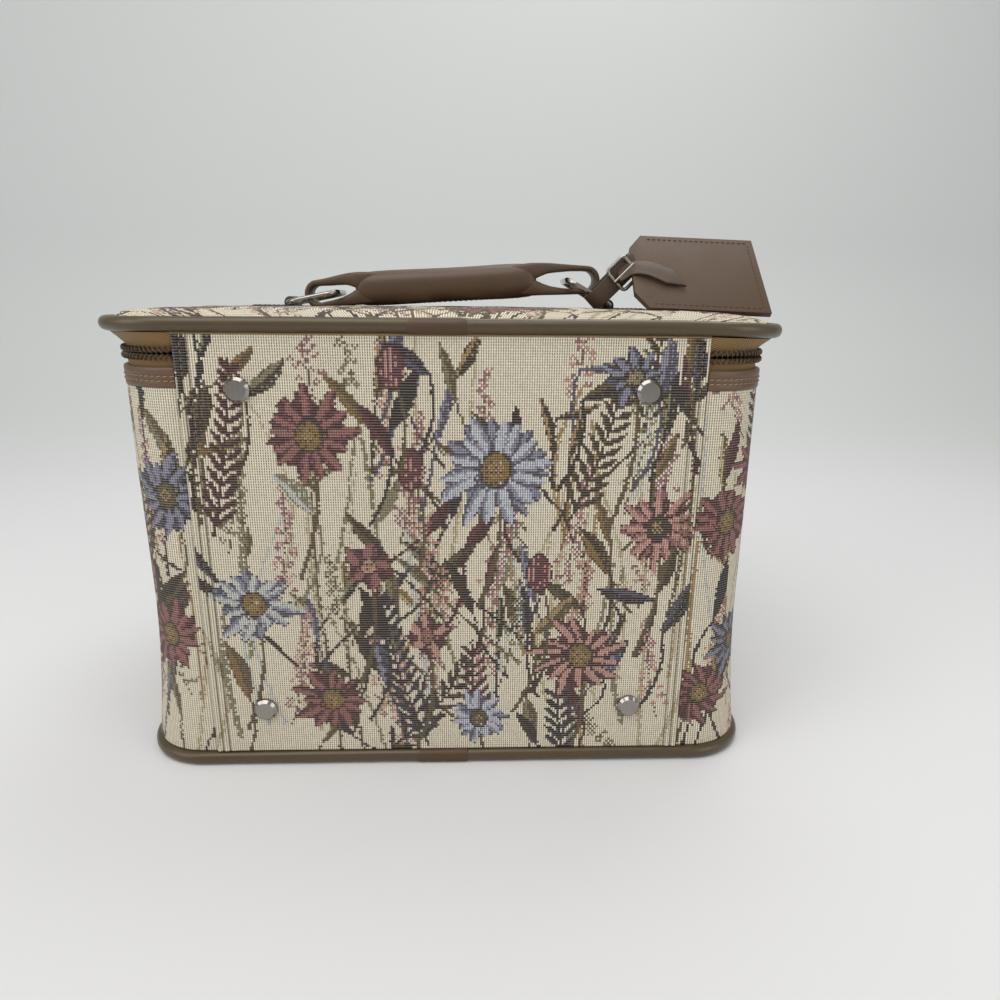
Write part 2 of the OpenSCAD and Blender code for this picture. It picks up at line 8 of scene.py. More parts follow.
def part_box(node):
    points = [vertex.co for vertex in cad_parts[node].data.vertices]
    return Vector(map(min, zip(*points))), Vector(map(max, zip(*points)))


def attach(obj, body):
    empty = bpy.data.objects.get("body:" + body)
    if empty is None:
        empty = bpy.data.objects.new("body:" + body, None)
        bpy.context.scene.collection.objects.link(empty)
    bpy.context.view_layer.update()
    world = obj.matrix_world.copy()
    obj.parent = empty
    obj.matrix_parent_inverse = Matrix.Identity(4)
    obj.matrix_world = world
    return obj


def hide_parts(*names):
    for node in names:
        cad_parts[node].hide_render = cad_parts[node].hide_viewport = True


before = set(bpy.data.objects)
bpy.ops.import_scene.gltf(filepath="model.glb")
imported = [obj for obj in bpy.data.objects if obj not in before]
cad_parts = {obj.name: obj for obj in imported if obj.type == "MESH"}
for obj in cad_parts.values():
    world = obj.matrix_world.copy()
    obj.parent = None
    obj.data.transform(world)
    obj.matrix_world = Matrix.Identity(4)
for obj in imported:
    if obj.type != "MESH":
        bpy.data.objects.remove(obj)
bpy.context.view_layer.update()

# The studio: a pale paper sweep that the case stands on, soft lamps round it, and the camera
# looking at the hinge side from a little above the lid. The helpers that wire finishes are here too.
MM = 0.001
scene = bpy.context.scene
scene.view_settings.view_transform = "Standard"
camera_angles = [math.radians(angle) for angle in (15.811, -2.067, 0.01)]
camera_spot = (0.013588, -0.424843, 0.237362)
seen = Euler(camera_angles, "XYZ").to_matrix() @ Matrix(((1, 0, 0), (0, 0, -1), (0, 1, 0)))
look = Matrix((seen[0], -seen[1], -seen[2])).transposed().to_4x4()
camera = bpy.data.objects.new("camera", bpy.data.cameras.new("camera"))
camera.data.lens = 25.2
camera.data.sensor_width = 36
camera.data.clip_start = 0.01
camera.matrix_world = Matrix.Translation(camera_spot) @ look
scene.collection.objects.link(camera)
scene.camera = camera


def new_finish(name):
    """An empty material with its shader, ready to be wired."""
    made = bpy.data.materials.new(name)
    made.use_nodes = True
    return made, made.node_tree, made.node_tree.nodes["Principled BSDF"]


def put(socket, value):
    """Links an input from a socket, or sets it to a plain value."""
    if hasattr(value, "is_linked"):
        socket.id_data.links.new(value, socket)
    else:
        socket.default_value = value


def plug(node, **inputs):
    """Fills a node's inputs by name, with a low line for each space."""
    for key, value in inputs.items():
        put(node.inputs[key.replace("_", " ")], value)


def add(tree, kind, **values):
    """One shader node, with its settings and its inputs."""
    node = tree.nodes.new("ShaderNode" + kind)
    for key, value in values.items():
        if hasattr(node, key):
            setattr(node, key, value)
        else:
            plug(node, **{key: value})
    return node


def maths(tree, operation, *values):
    """One math node; each input is a socket or a number."""
    node = add(tree, "Math", operation=operation)
    for socket, value in zip(node.inputs, values):
        put(socket, value)
    return node.outputs[0]


def tinted(tree, share, first, second):
    """The colour between two, by a share; each colour is a socket or four numbers."""
    node = add(tree, "Mix", data_type="RGBA")
    for place, value in ((0, share), (6, first), (7, second)):
        put(node.inputs[place], value)
    return node.outputs[2]


def spot(tree, kind):
    """Where each point lies, in its object or on its map."""
    return add(tree, "TexCoord").outputs[kind]


def ramp(tree, value, low, high, first=0.0, last=1.0):
    """A smooth step from one value to another, as a socket goes from low to high."""
    return add(tree, "MapRange", interpolation_type="SMOOTHSTEP", Value=value, From_Min=low, From_Max=high,
               To_Min=first, To_Max=last).outputs[0]


def shade(*screen):
    """A colour as it shows on a screen, 0 to 255, as linear light."""
    parts = [value / 255 for value in screen]
    return tuple(v / 12.92 if v <= 0.04045 else ((v + 0.055) / 1.055) ** 2.4 for v in parts) + (1.0,)


paper, tree, shader = new_finish("studio_paper")
fibres = add(tree, "TexNoise", Scale=6.0, Detail=3.0)
split = add(tree, "SeparateXYZ", Vector=spot(tree, "Object"))
# The sweep turns darker from 0.5 m to 0.8 m back, where it rises into the wall: painted shade on its upright
# part.
painted_wall_shade = ramp(tree, split.outputs["Y"], 0.5, 0.8)
table = tinted(tree, fibres.outputs["Fac"], shade(218, 218, 219), shade(224, 225, 226))
plug(shader, Base_Color=tinted(tree, painted_wall_shade, table, shade(205, 208, 207)), Roughness=0.85,
     Specular_IOR_Level=0.2)
sweep_near, sweep_start, sweep_bend, sweep_top, sweep_half = -6.0, 0.55, 0.35, 2.2, 8
sweep_line = [(sweep_near, 0.0), (sweep_start, 0.0)]
sweep_line += [(sweep_start + sweep_bend * math.sin(a), sweep_bend - sweep_bend * math.cos(a))
               for a in np.linspace(0.1, math.pi / 2, 14)]
sweep_line.append((sweep_start + sweep_bend, sweep_top))
paper_mesh = bpy.data.meshes.new("studio_sweep")
paper_mesh.from_pydata([(x, y, z) for y, z in sweep_line for x in (-sweep_half, sweep_half)], [],
                       [(2 * i, 2 * i + 1, 2 * i + 3, 2 * i + 2) for i in range(len(sweep_line) - 1)])
paper_mesh.shade_smooth()
paper_mesh.materials.append(paper)
sweep = bpy.data.objects.new("studio_sweep", paper_mesh)
scene.collection.objects.link(sweep)
lamp_target = Vector((0, 0, 0.1))
for name, place, size, power in (("lamp_above", (-0.25, -0.55, 1.35), 1.1, 9.5),
                                 ("lamp_left", (-1.3, -0.8, 0.8), 0.9, 5.5),
                                 ("lamp_right", (1.2, -1.0, 0.6), 0.9, 4.4),
                                 ("lamp_front", (0.3, 0.5, 1.3), 0.8, 5.0)):
    lamp = bpy.data.objects.new(name, bpy.data.lights.new(name, "AREA"))
    lamp.data.size = size
    lamp.data.energy = power
    lamp.data.color = (1.0, 0.985, 0.965)
    lamp.location = place
    lamp.rotation_euler = (lamp_target - Vector(place)).to_track_quat("-Z", "Y").to_euler()
    scene.collection.objects.link(lamp)
scene.world = bpy.data.worlds.new("studio_air")
scene.world.use_nodes = True
plug(scene.world.node_tree.nodes["Background"], Color=(1.0, 1.0, 1.0, 1), Strength=0.46)

# The base panel: a rounded piece of jacquard tapestry under the case, cut from the same bolt as the
# walls and the lid and sewn into the bottom piping. The loom that weaves the meadow pattern is here too.
threads = {"cream": (224, 215, 192), "straw": (184, 170, 138), "tan": (158, 132, 94), "gold": (126, 98, 56),
           "burgundy": (56, 20, 32), "wine": (86, 40, 54), "rose": (139, 91, 91), "pink": (186, 142, 132),
           "mauve": (140, 98, 106), "lavender": (130, 130, 150), "sky": (184, 189, 198),
           "slate": (72, 70, 92), "ink": (28, 23, 34), "mist": (190, 194, 186), "sage": (126, 120, 94),
           "olive": (84, 72, 50), "moss": (48, 39, 34)}
threads = {name: np.array(shade(*value)[:3]) for name, value in threads.items()}


class Loom:
    """A length of cloth in cells, one for each float of weft, that motifs are woven into."""

    def __init__(self, wide, high, across, up, seed):
        self.across, self.up = across, up
        self.wide, self.high = wide, high
        self.cols, self.rows = int(math.ceil(wide / across)), int(math.ceil(high / up))
        self.luck = np.random.default_rng(seed)
        self.cloth = np.tile(threads["cream"], (self.rows, self.cols, 1))
        self.cloth *= 0.9 + 0.14 * self.luck.random((self.rows, self.cols, 1))
        self.shift = self.luck.normal(0, 0.25, self.rows)
        lift = np.array([[0, 8, 2, 10], [12, 4, 14, 6], [3, 11, 1, 9], [15, 7, 13, 5]]) / 16
        self.lifts = np.tile(lift, (self.rows // 4 + 1, self.cols // 4 + 1))[:self.rows, :self.cols]

    def patch(self, x, y, reach):
        """The cells within reach of a point and how far each lies from it, or None off the cloth."""
        c0, c1 = max(0, int((x - reach) / self.across)), min(self.cols, int((x + reach) / self.across) + 2)
        r0, r1 = max(0, int((y - reach) / self.up)), min(self.rows, int((y + reach) / self.up) + 2)
        if c1 <= c0 or r1 <= r0:
            return None
        gx, gy = np.meshgrid((np.arange(c0, c1) + 0.5) * self.across - x,
                             (np.arange(r0, r1) + 0.5) * self.up - y)
        return (slice(r0, r1), slice(c0, c1)), gx + self.shift[r0:r1, None], gy

    def lay(self, where, mask, name, share=1.0):
        """Lays one thread over a share of the masked cells."""
        hit = mask & (0.85 * self.lifts[where] + 0.15 * self.luck.random(mask.shape) < share)
        self.cloth[where][hit] = threads[name] * (0.84 + 0.32 * self.luck.random((int(hit.sum()), 1)))

    def stem(self, x, y, to_x, to_y, bend, thick, name, share=0.95):
        long = math.hypot(to_x - x, to_y - y)
        for t in np.linspace(0, 1, int(long / 0.8) + 2):
            px = x + (to_x - x) * t + bend * math.sin(math.pi * t)
            here = self.patch(px, y + (to_y - y) * t, thick * 2)
            if here:
                self.lay(here[0], np.hypot(here[1], here[2]) < thick * (1 - 0.35 * t), name, share)

    def leaf(self, x, y, angle, long, wide, light, dark):
        here = self.patch(x, y, long * 1.05)
        if not here:
            return
        where, gx, gy = here
        along = (gx * math.cos(angle) + gy * math.sin(angle)) / long
        off = -gx * math.sin(angle) + gy * math.cos(angle) + wide * 0.5 * np.sin(2.4 * along)
        room = wide * np.sin(math.pi * np.clip(along, 0, 1)) ** 0.8
        inside = (along > 0) & (along < 1) & (np.abs(off) < room)
        self.lay(where, inside, light, 0.94)
        self.lay(where, inside & (off < -0.1 * room), dark, 0.75)
        self.lay(where, inside & (np.abs(off) < 0.5) & (along < 0.85), dark, 0.9)
        self.lay(where, inside & (np.abs(off) > 0.8 * room), dark, 0.6)

    def daisy(self, x, y, r, petals, rim, mid, glow, heart, flat, broad=0.15):
        """Two rings of petals, each with its own length, width and sway, round a seeded heart."""
        here = self.patch(x, y, r * 1.1)
        if not here:
            return
        where, gx, gy = here
        gy = gy / flat
        far = np.hypot(gx, gy) + 1e-6
        step, droop = 2 * math.pi / petals, self.luck.normal(0, 0.014)
        for ring, (size, spin) in enumerate(((0.84, 0.5), (1.0, 0.0))):
            angle = np.arctan2(gy, gx) - spin * step - droop * far
            which = np.round(angle / step).astype(int) % petals
            sway = self.luck.normal(0, 0.14 * step, petals)[which]
            off = (angle - np.round(angle / step) * step - sway) * far
            long = r * size * (0.58 + 0.42 * self.luck.random(petals))[which]
            t = np.clip(far / long, 0, 1)
            full = (0.75 + 0.4 * self.luck.random(petals))[which]
            room = r * broad * full * np.sin(math.pi * t ** 1.35) ** 0.65
            petal = (np.abs(off) < room) & (t < 1)
            self.lay(where, petal, glow if ring else mid, 1.0)
            self.lay(where, petal & (off < -0.15 * room), mid if ring else rim, 0.8)
            self.lay(where, petal & ((off < -0.62 * room) | (off > 0.8 * room)), rim, 0.95)
            self.lay(where, petal & (t < 0.36), rim, 0.7)
        middle = np.hypot(gx, 0.8 * gy)
        for size, name, share in ((0.235, "moss", 0.9), (0.2, heart, 0.8), (0.11, "tan", 0.4)):
            self.lay(where, middle < size * r, name, share)

    def heather(self, x, y, long, lean, name, other):
        self.stem(x, y, x + lean, y + long, lean * 0.2, 0.6, "olive", 0.7)
        for k in range(int(long / 1.1)):
            t = k / (long / 1.1)
            grow = (1 - t) * 7 + 1.2
            px = x + lean * t + lean * 0.2 * math.sin(math.pi * t) + grow * (2 * self.luck.random() - 1)
            here = self.patch(px, y + long * t, 3)
            if here and t > 0.12:
                floret = (here[1] / 1.7) ** 2 + (here[2] / 1.5) ** 2 < 1
                self.lay(here[0], floret, name if k % 3 else other, 0.6)

    def sprig(self, x, y, long, lean, light, dark, leaf):
        self.stem(x, y, x + lean, y + long, lean * 0.15, 0.8, dark)
        rise = math.atan2(long, lean)
        for k in range(1, int(long / 6)):
            t = k / (long / 6)
            px, py = x + lean * t + lean * 0.15 * math.sin(math.pi * t), y + long * t
            for side in (-1, 1):
                self.leaf(px, py, rise + side * 0.75, leaf * (1.15 - 0.55 * t), 1.5, light, dark)

    def bud(self, x, y, r):
        here = self.patch(x, y, r * 2)
        if not here:
            return
        where, gx, gy = here
        far = (gx / r) ** 2 + (gy / (r * 1.65)) ** 2
        self.lay(where, far < 1, "wine")
        self.lay(where, (far < 1) & (np.abs(np.sin(gx * 1.25)) < 0.42), "pink", 0.85)
        self.lay(where, (far < 1) & (far > 0.72), "burgundy", 0.9)

    def grass(self, count, low, tall):
        """Blades and stems that run up from the selvedge, with a few long leaves on them."""
        for k in range(count):
            x = (k + self.luck.random()) * self.wide / count
            y = low + self.luck.random() * self.high * 0.3
            long = tall * (0.5 + 0.6 * self.luck.random())
            lean, bend = self.luck.normal(0, 14), self.luck.normal(0, 7)
            name = ("sage", "straw", "tan", "mist", "olive", "straw")[int(self.luck.integers(6))]
            self.stem(x, y, x + lean, y + long, bend, 0.9 + 0.7 * self.luck.random(), name, 0.75)
            if k % 2 == 0:
                dark = ("olive", "sage", "gold", "moss")[int(self.luck.integers(4))]
                self.leaf(x + lean * 0.5 + bend, y + long * 0.5, 1.57 + self.luck.normal(0, 0.5),
                          16 + 14 * self.luck.random(), 1.7 + 1.2 * self.luck.random(), name, dark)

    def sow(self, flowers=True):
        """A scattered meadow over the whole length."""
        luck, ground = self.luck, self.wide * self.high
        self.grass(int(self.wide / 8), -8, min(130, self.high * 0.8))
        self.grass(int(self.wide / 20), self.high * 0.3, min(120, self.high * 0.6))
        tints = ("mauve pink", "pink rose", "mauve rose", "sage olive", "pink mauve")
        for k in range(int(ground / 3000)):
            self.heather(luck.random() * self.wide, luck.random() * self.high * 1.05 - 30,
                         50 + 40 * luck.random(), luck.normal(0, 16), *tints[k % 5].split())
        tones = ("slate ink", "olive moss", "sage olive", "wine burgundy", "tan moss", "sage ink",
                 "gold olive", "lavender slate", "moss ink", "ink ink")
        for k in range(int(ground / 780)):
            light, dark = tones[int(luck.integers(len(tones)))].split()
            x, y, way = luck.random() * self.wide, luck.random() * self.high, 1.57 + luck.normal(0, 0.65)
            foot = x - 34 / math.tan(way) if abs(way - 1.57) < 0.9 else x
            self.stem(foot, y - 34, x, y, luck.normal(0, 5), 0.95, dark)
            self.leaf(x, y, way, 20 + 20 * luck.random(), 2.2 + 1.6 * luck.random(), light, dark)
        pairs = ("sage moss", "slate ink", "mauve burgundy", "olive ink")
        for k in range(int(ground / 9000)):
            self.sprig(luck.random() * self.wide, luck.random() * self.high * 0.9 - 15,
                       40 + 30 * luck.random(), luck.normal(0, 16), *pairs[k % 4].split(),
                       12 + 4 * luck.random())
        kinds = ("burgundy wine rose gold", "slate lavender sky gold", "burgundy wine pink olive",
                 "ink slate lavender gold")
        tiers = max(2, int(self.high / 62)) if flowers else 0
        for k in range(int(self.wide / 52)):
            for tier in range(tiers):
                x = (k + 0.5 + 0.5 * (tier % 2) + luck.normal(0, 0.16)) * 52
                y = (tier + 0.5 + luck.normal(0, 0.14)) * self.high / tiers
                kind = kinds[(k + 2 * tier + k // 3) % 4].split()
                self.stem(x + luck.normal(0, 8), y - 60, x, y, luck.normal(0, 6), 1.1, "olive")
                if (k * 3 + tier * 5) % 7 < 5:
                    self.daisy(x, y, 22 + 9 * luck.random(), 12 + k % 4, *kind,
                               0.75 + 0.25 * luck.random(), 0.125)
                else:
                    self.bud(x, y, 6)


def one_group(name, inputs, outputs):
    """A shader node group with its named sockets."""
    group = bpy.data.node_groups.new(name, "ShaderNodeTree")
    for label, kind, value in inputs:
        socket = group.interface.new_socket(label, in_out="INPUT", socket_type="NodeSocket" + kind)
        socket.default_value = value
    for label, kind in outputs:
        group.interface.new_socket(label, in_out="OUTPUT", socket_type="NodeSocket" + kind)
    return group, group.nodes.new("NodeGroupInput").outputs, group.nodes.new("NodeGroupOutput")


def scaled(tree, colour, amount):
    """A colour made lighter or darker by an amount."""
    node = add(tree, "VectorMath", operation="SCALE", Scale=amount)
    put(node.inputs[0], colour)
    return node.outputs[0]


weave, given, made = one_group(
    "weave", (("Thread", "Color", (1, 1, 1, 1)), ("Weft", "Color", (0.7, 0.7, 0.6, 1)),
              ("Gap", "Color", (0.1, 0.1, 0.1, 1)), ("Fuzz", "Float", 0.2), ("Cells", "Float", 100.0)),
    (("Colour", "Color"), ("Height", "Float")))
split = add(weave, "SeparateXYZ", Vector=spot(weave, "UV"))
in_cell = [maths(weave, "FRACT", maths(weave, "MULTIPLY", split.outputs[axis], given["Cells"]))
           for axis in (0, 1)]
line = maths(weave, "ABSOLUTE", maths(weave, "SUBTRACT", in_cell[1], 0.8))
line = ramp(weave, line, 0.1, 0.19, 1.0, 0.0)
side = maths(weave, "ABSOLUTE", maths(weave, "SUBTRACT", maths(weave, "MULTIPLY", in_cell[0], 2.0), 1.0))
shaded_gap = maths(weave, "MULTIPLY", ramp(weave, side, 0.42, 0.82), maths(weave, "SUBTRACT", 1.0, line))
cover = maths(weave, "SUBTRACT", 1.0, shaded_gap)
fibre = add(weave, "TexNoise", Vector=spot(weave, "Object"), Scale=1400.0, Detail=2.0).outputs["Fac"]
soft = maths(weave, "MULTIPLY_ADD", maths(weave, "SUBTRACT", fibre, 0.5), given["Fuzz"], 1.0)
# Where the floats part, the cloth takes the dark gap colour: painted shade down in the gaps between the
# threads.
face = tinted(weave, maths(weave, "MULTIPLY", shaded_gap, 0.85), given["Thread"], given["Gap"])
face = tinted(weave, maths(weave, "MULTIPLY", line, 0.22), face, given["Weft"])
plug(made, Colour=scaled(weave, face, soft), Height=maths(weave, "MULTIPLY_ADD", fibre, 0.25, cover))


def bumped(shader, height, strength, depth):
    """Relief on a finish, from a height."""
    bump = add(shader.id_data, "Bump", Strength=strength, Distance=depth, Height=height)
    plug(shader, Normal=bump.outputs[0])


tapestry, tree, shader = new_finish("tapestry")
floats = add(tree, "VertexColor", layer_name="thread").outputs["Color"]
# The dark gap colour is painted shade between the floats.
cloth = add(tree, "Group", node_tree=weave, Thread=floats, Weft=shade(222, 214, 192), Gap=shade(62, 52, 40),
            Fuzz=0.35)
plug(shader, Base_Color=cloth.outputs["Colour"], Roughness=0.92, Specular_IOR_Level=0.15, Sheen_Weight=0.08,
     Sheen_Roughness=0.6)
bumped(shader, cloth.outputs["Height"], 0.75, 0.00035)


def settle(name, mesh, finish, body, stands_for):
    """A mesh as a piece on its body and in its finish."""
    mesh.shade_smooth()
    mesh.materials.append(finish)
    obj = bpy.data.objects.new(name, mesh)
    scene.collection.objects.link(obj)
    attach(obj, body)
    if stands_for:
        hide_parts(*stands_for)
    return obj


def piece(name, points, faces, finish, body, stands_for=(), uv=None, thread=None):
    """A piece from points in the case's own frame, in metres, with its map and its threads."""
    mesh = bpy.data.meshes.new(name)
    mesh.from_pydata(np.asarray(points, float).reshape(-1, 3).tolist(), [], np.asarray(faces).tolist())
    if uv is not None:
        order = np.empty(len(mesh.loops), np.int32)
        mesh.loops.foreach_get("vertex_index", order)
        corners = np.asarray(uv, np.float32).reshape(-1, 2)[order]
        mesh.uv_layers.new(name="UVMap").data.foreach_set("uv", corners.ravel())
    if thread is not None:
        colour = np.ones((len(faces), 4, 4), np.float32)
        colour[:, :, :3] = np.asarray(thread).reshape(-1, 1, 3)
        mesh.color_attributes.new("thread", "FLOAT_COLOR", "CORNER").data.foreach_set("color", colour.ravel())
    return settle(name, mesh, finish, body, stands_for)


def quads(rows, cols, closed=False):
    """Four-sided faces over rows of points; closed joins the last column to the first."""
    j = np.arange(cols if closed else cols - 1)
    k = (j + 1) % cols
    i = np.arange(rows - 1)[:, None] * cols
    return np.stack([i + j, i + k, i + cols + k, i + cols + j], -1).reshape(-1, 4)


def woven(loom, across, up, painted_shade=1):
    """The thread on each face of a grid whose lines lie at these distances along and up the cloth, times a
    factor that paints shade where one is given.
    """
    c = np.clip(((across[1:] + across[:-1]) / 2 / loom.across).astype(int), 0, loom.cols - 1)
    r = np.clip(((up[1:] + up[:-1]) / 2 / loom.up).astype(int), 0, loom.rows - 1)
    return loom.cloth[r[:, None], c[None, :]] * painted_shade


def cells(loom, across, up):
    """The weave's own map: one hundredth for each cell."""
    return np.stack(np.meshgrid(across / loom.across, up / loom.up), -1) / 100


def rounded_grid(across, up, half, deep, corner):
    """Points over a rounded panel, on lines at these distances from its middle."""
    x, y = np.meshgrid(across, up)
    over = np.clip(np.abs(y) - (deep - corner), 0, corner)
    return x * (half - corner + np.sqrt(np.maximum(corner ** 2 - over ** 2, 0))) / half, y


base_half, base_deep, base_corner = 158.6, 96.1, 29.1
base_loom = Loom(2 * base_half, 2 * base_deep, 2.4, 2.2, 41)
base_loom.sow()
across = np.linspace(0, 2 * base_half, base_loom.cols + 1)
up = np.linspace(0, 2 * base_deep, base_loom.rows + 1)
gx, gy = rounded_grid(across - base_half, up - base_deep, base_half, base_deep, base_corner)
rise = 0.3 + 0.2 * np.sin(gx / 31) * np.cos(gy / 27)
base_panel = piece("base_panel_cloth", np.stack([gx, gy, rise], -1) * MM, quads(*gx.shape)[:, ::-1],
                   tapestry, "case", ("base_panel",), cells(base_loom, across, up),
                   woven(base_loom, across, up))

# The stiffeners: greyboard in the base, the walls and the lid, glued between the cloth and the lining.
# They keep their own solids and only take a pulp finish.
greyboard, tree, shader = new_finish("greyboard")
pulp = add(tree, "TexNoise", Vector=spot(tree, "Object"), Scale=260.0, Detail=6.0, Roughness=0.7)
pulp = pulp.outputs["Fac"]
plug(shader, Base_Color=tinted(tree, pulp, shade(150, 132, 104), shade(190, 172, 142)), Roughness=0.95)
bumped(shader, pulp, 0.3, 0.0003)


def finish_nodes(finish, *nodes):
    """Solids that stay as they are, in a better finish."""
    for node in nodes:
        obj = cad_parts[node]
        if not obj.material_slots:
            obj.data.materials.append(finish)
        for place in obj.material_slots:
            place.material = finish


finish_nodes(greyboard, "base_board", "wall_board", "lid_board")

# The piping: a cord rolled in glossy olive-brown vinyl and sewn into the bottom seam and the lid's seam,
# with a short wrapped patch at the back where its two ends meet.
grain, given, made = one_group(
    "grain", (("Colour", "Color", (1, 1, 1, 1)), ("Fine", "Float", 900.0), ("Wear", "Float", 0.2)),
    (("Colour", "Color"), ("Height", "Float"), ("Rough", "Float")))
place = spot(grain, "Object")
pebble = add(grain, "TexVoronoi", feature="SMOOTH_F1", Vector=place, Scale=given["Fine"]).outputs["Distance"]
crease = add(grain, "TexNoise", Vector=place, Scale=55.0, Detail=5.0, Roughness=0.6).outputs["Fac"]
worn = maths(grain, "MULTIPLY_ADD", maths(grain, "SUBTRACT", crease, 0.5), given["Wear"], 1.0)
worn = maths(grain, "MULTIPLY_ADD", maths(grain, "SUBTRACT", pebble, 0.45),
             maths(grain, "MULTIPLY", given["Wear"], -0.6), worn)
plug(made, Colour=scaled(grain, given["Colour"], worn), Rough=crease,
     Height=maths(grain, "SUBTRACT", maths(grain, "MULTIPLY", crease, 0.8), pebble))


def hide_finish(name, colour, fine, wear, rough, relief, gloss):
    """Leather or vinyl of one colour, with its grain, soft wear and gloss."""
    finish, tree, shader = new_finish(name)
    skin = add(tree, "Group", node_tree=grain, Colour=colour, Fine=fine, Wear=wear).outputs
    plug(shader, Base_Color=skin["Colour"], Coat_Weight=gloss, Coat_Roughness=0.28,
         Roughness=maths(tree, "MULTIPLY_ADD", skin["Rough"], 0.22, rough - 0.11))
    bumped(shader, skin["Height"], relief, 0.0002)
    return finish


piping_vinyl = hide_finish("piping_vinyl", shade(72, 58, 32), 1500.0, 0.3, 0.38, 0.1, 0.22)
patch_vinyl = hide_finish("piping_patch_vinyl", shade(72, 50, 26), 1200.0, 0.3, 0.5, 0.2, 0.05)
piping_outline, piping_r = (162.1, 99.6, 99.6, 32.6), 3.4
patch_ends, patch_r, patch_squeeze = (-17.0, 10.2), 3.85, 0.4
bottom_piping_z, floor_room = 3.6, 0.03


def round_length(half, front, back, corner):
    """The way round a rounded outline."""
    return 4 * (half - corner) + 2 * (front + back - 2 * corner) + 2 * math.pi * corner


def walk(at, half, front, back, corner):
    """Points and outward directions on a rounded outline, measured from the middle of the back towards +X."""
    at = np.asarray(at, float) % round_length(half, front, back, corner)
    flat, run, arc = half - corner, front + back - 2 * corner, corner * math.pi / 2
    low, high = corner - back, front - corner
    legs = ((flat, (0, -back), (1, 0)), (arc, (flat, low), -90), (run, (half, low), (0, 1)),
            (arc, (flat, high), 0), (2 * flat, (flat, front), (-1, 0)), (arc, (-flat, high), 90),
            (run, (-half, high), (0, -1)), (arc, (-flat, low), 180), (flat, (-flat, -back), (1, 0)))
    spots, outs, start = np.zeros((len(at), 2)), np.zeros((len(at), 2)), 0.0
    for long, place, way in legs:
        on = (at >= start - 1e-9) & (at <= start + long + 1e-9)
        here = at[on] - start
        if isinstance(way, tuple):
            spots[on] = np.array(place) + here[:, None] * np.array(way)
            outs[on] = (way[1], -way[0])
        else:
            turn = math.radians(way) + here / corner
            outs[on] = np.stack([np.cos(turn), np.sin(turn)], -1)
            spots[on] = np.array(place) + corner * outs[on]
        start += long
    return spots, outs


def lid_sag(x, y):
    """How far the lid's rim hangs below level, most at the corner where the tag hangs."""
    return -1.6 * np.clip((np.asarray(x) - 95) / 70, 0, 1) ** 2 * np.clip((30 - np.asarray(y)) / 120, 0, 1)


def piping(seam, z, body):
    """The vinyl roll round one seam, with a slack ripple, and the patch over its ends."""
    ring = np.linspace(0, round_length(*piping_outline), 340, endpoint=False)
    for part, node, finish, radius, at in (
            ("roll", "", piping_vinyl, piping_r, ring),
            ("patch", "_join", patch_vinyl, patch_r, np.linspace(*patch_ends, 26))):
        spots, outs = walk(at, *piping_outline)
        thick = radius * (1 + 0.012 * np.sin(at / 11) + 0.01 * np.sin(at / 4.3 + 1))
        if part == "patch":
            thick = thick - patch_squeeze * np.exp(-np.minimum(at - at[0], at[-1] - at) / 0.8)
        height = z + 0.25 * np.sin(at / 47) + (lid_sag(spots[:, 0], spots[:, 1]) if body == "lid" else 0)
        around = np.linspace(0, 2 * math.pi, 22, endpoint=False)
        flat = 1 - 0.05 * np.cos(around) ** 2
        rows = np.zeros((len(around), len(at), 3))
        for k, angle in enumerate(around):
            rows[k, :, :2] = spots + outs * (thick * flat[k] * math.cos(angle))[:, None]
            rows[k, :, 2] = np.maximum(height + thick * math.sin(angle), floor_room)
        if part == "roll":
            j = np.arange(len(at))
            k = (j + 1) % len(at)
            top = (len(around) - 1) * len(at)
            last = np.stack([top + j, top + k, k, j], -1)
            faces = np.concatenate([quads(len(around), len(at), True), last])
        else:
            rows = np.concatenate([rows, rows[:1]])
            faces = quads(len(around) + 1, len(at))
        piece(f"{seam}_{part}", rows * MM, faces, finish, body, (seam + node,))


piping("bottom_piping", bottom_piping_z, "case")

# The walls: one strip of tapestry that runs from the hinge panel round both ends and the front,
# stretched over the wall board and turned out a little at the foot, where the piping holds it.
wall = (156.5, 94.0, 98.8, 33.0)
wall_half, wall_front, wall_back, wall_corner = wall
wrap_low, wrap_high, panel_edge, flare_out, flare_high = 7.2, 197.9, 122.6, 7.6, 96
wrap_long = round_length(*wall) - 2 * panel_edge
wrap_loom = Loom(wrap_long, wrap_high - wrap_low, 1.2, 1.26, 7)
wrap_loom.sow()
red, blue = "burgundy wine rose gold".split(), "ink slate lavender olive".split()
for x, z, r, tones in ((18, 126, 25, red), (690, 66, 24, red), (30, 58, 23, blue), (698, 140, 25, blue),
                       (52, 172, 21, red), (660, 172, 21, blue)):
    wrap_loom.daisy(x, z, r, 13, *tones, 0.95)
across = np.linspace(0, wrap_long, wrap_loom.cols + 1)
up = np.linspace(0, wrap_high - wrap_low, wrap_loom.rows + 1)
rows = np.zeros((len(up), len(across), 3))
wrap_lengths = []
for k, z in enumerate(up + wrap_low):
    flare = flare_out * max(0.0, 1 - z / flare_high) ** 2
    outline = (wall_half + flare, wall_front + flare, wall_back, wall_corner)
    wrap_lengths.append(round_length(*outline) - 2 * panel_edge)
    spots, outs = walk(panel_edge + across / wrap_long * wrap_lengths[-1], *outline)
    middle = math.sin(math.pi * k / (len(up) - 1))
    ends = np.clip(np.minimum(across, wrap_long - across) / 25, 0, 1)
    ripple = 0.45 * np.sin(across / 19 + z / 60) + 0.3 * np.sin(across / 7.5 - z / 35)
    slack = middle * ends * ripple + 0.5 * middle * ends
    rows[k, :, :2] = spots + outs * slack[:, None]
    rows[k, :, 2] = z
wrap = piece("wall_cloth", rows * MM, quads(len(up), len(across)), tapestry, "case",
             ("tapestry_wrap",), cells(wrap_loom, across, up), woven(wrap_loom, across, up))

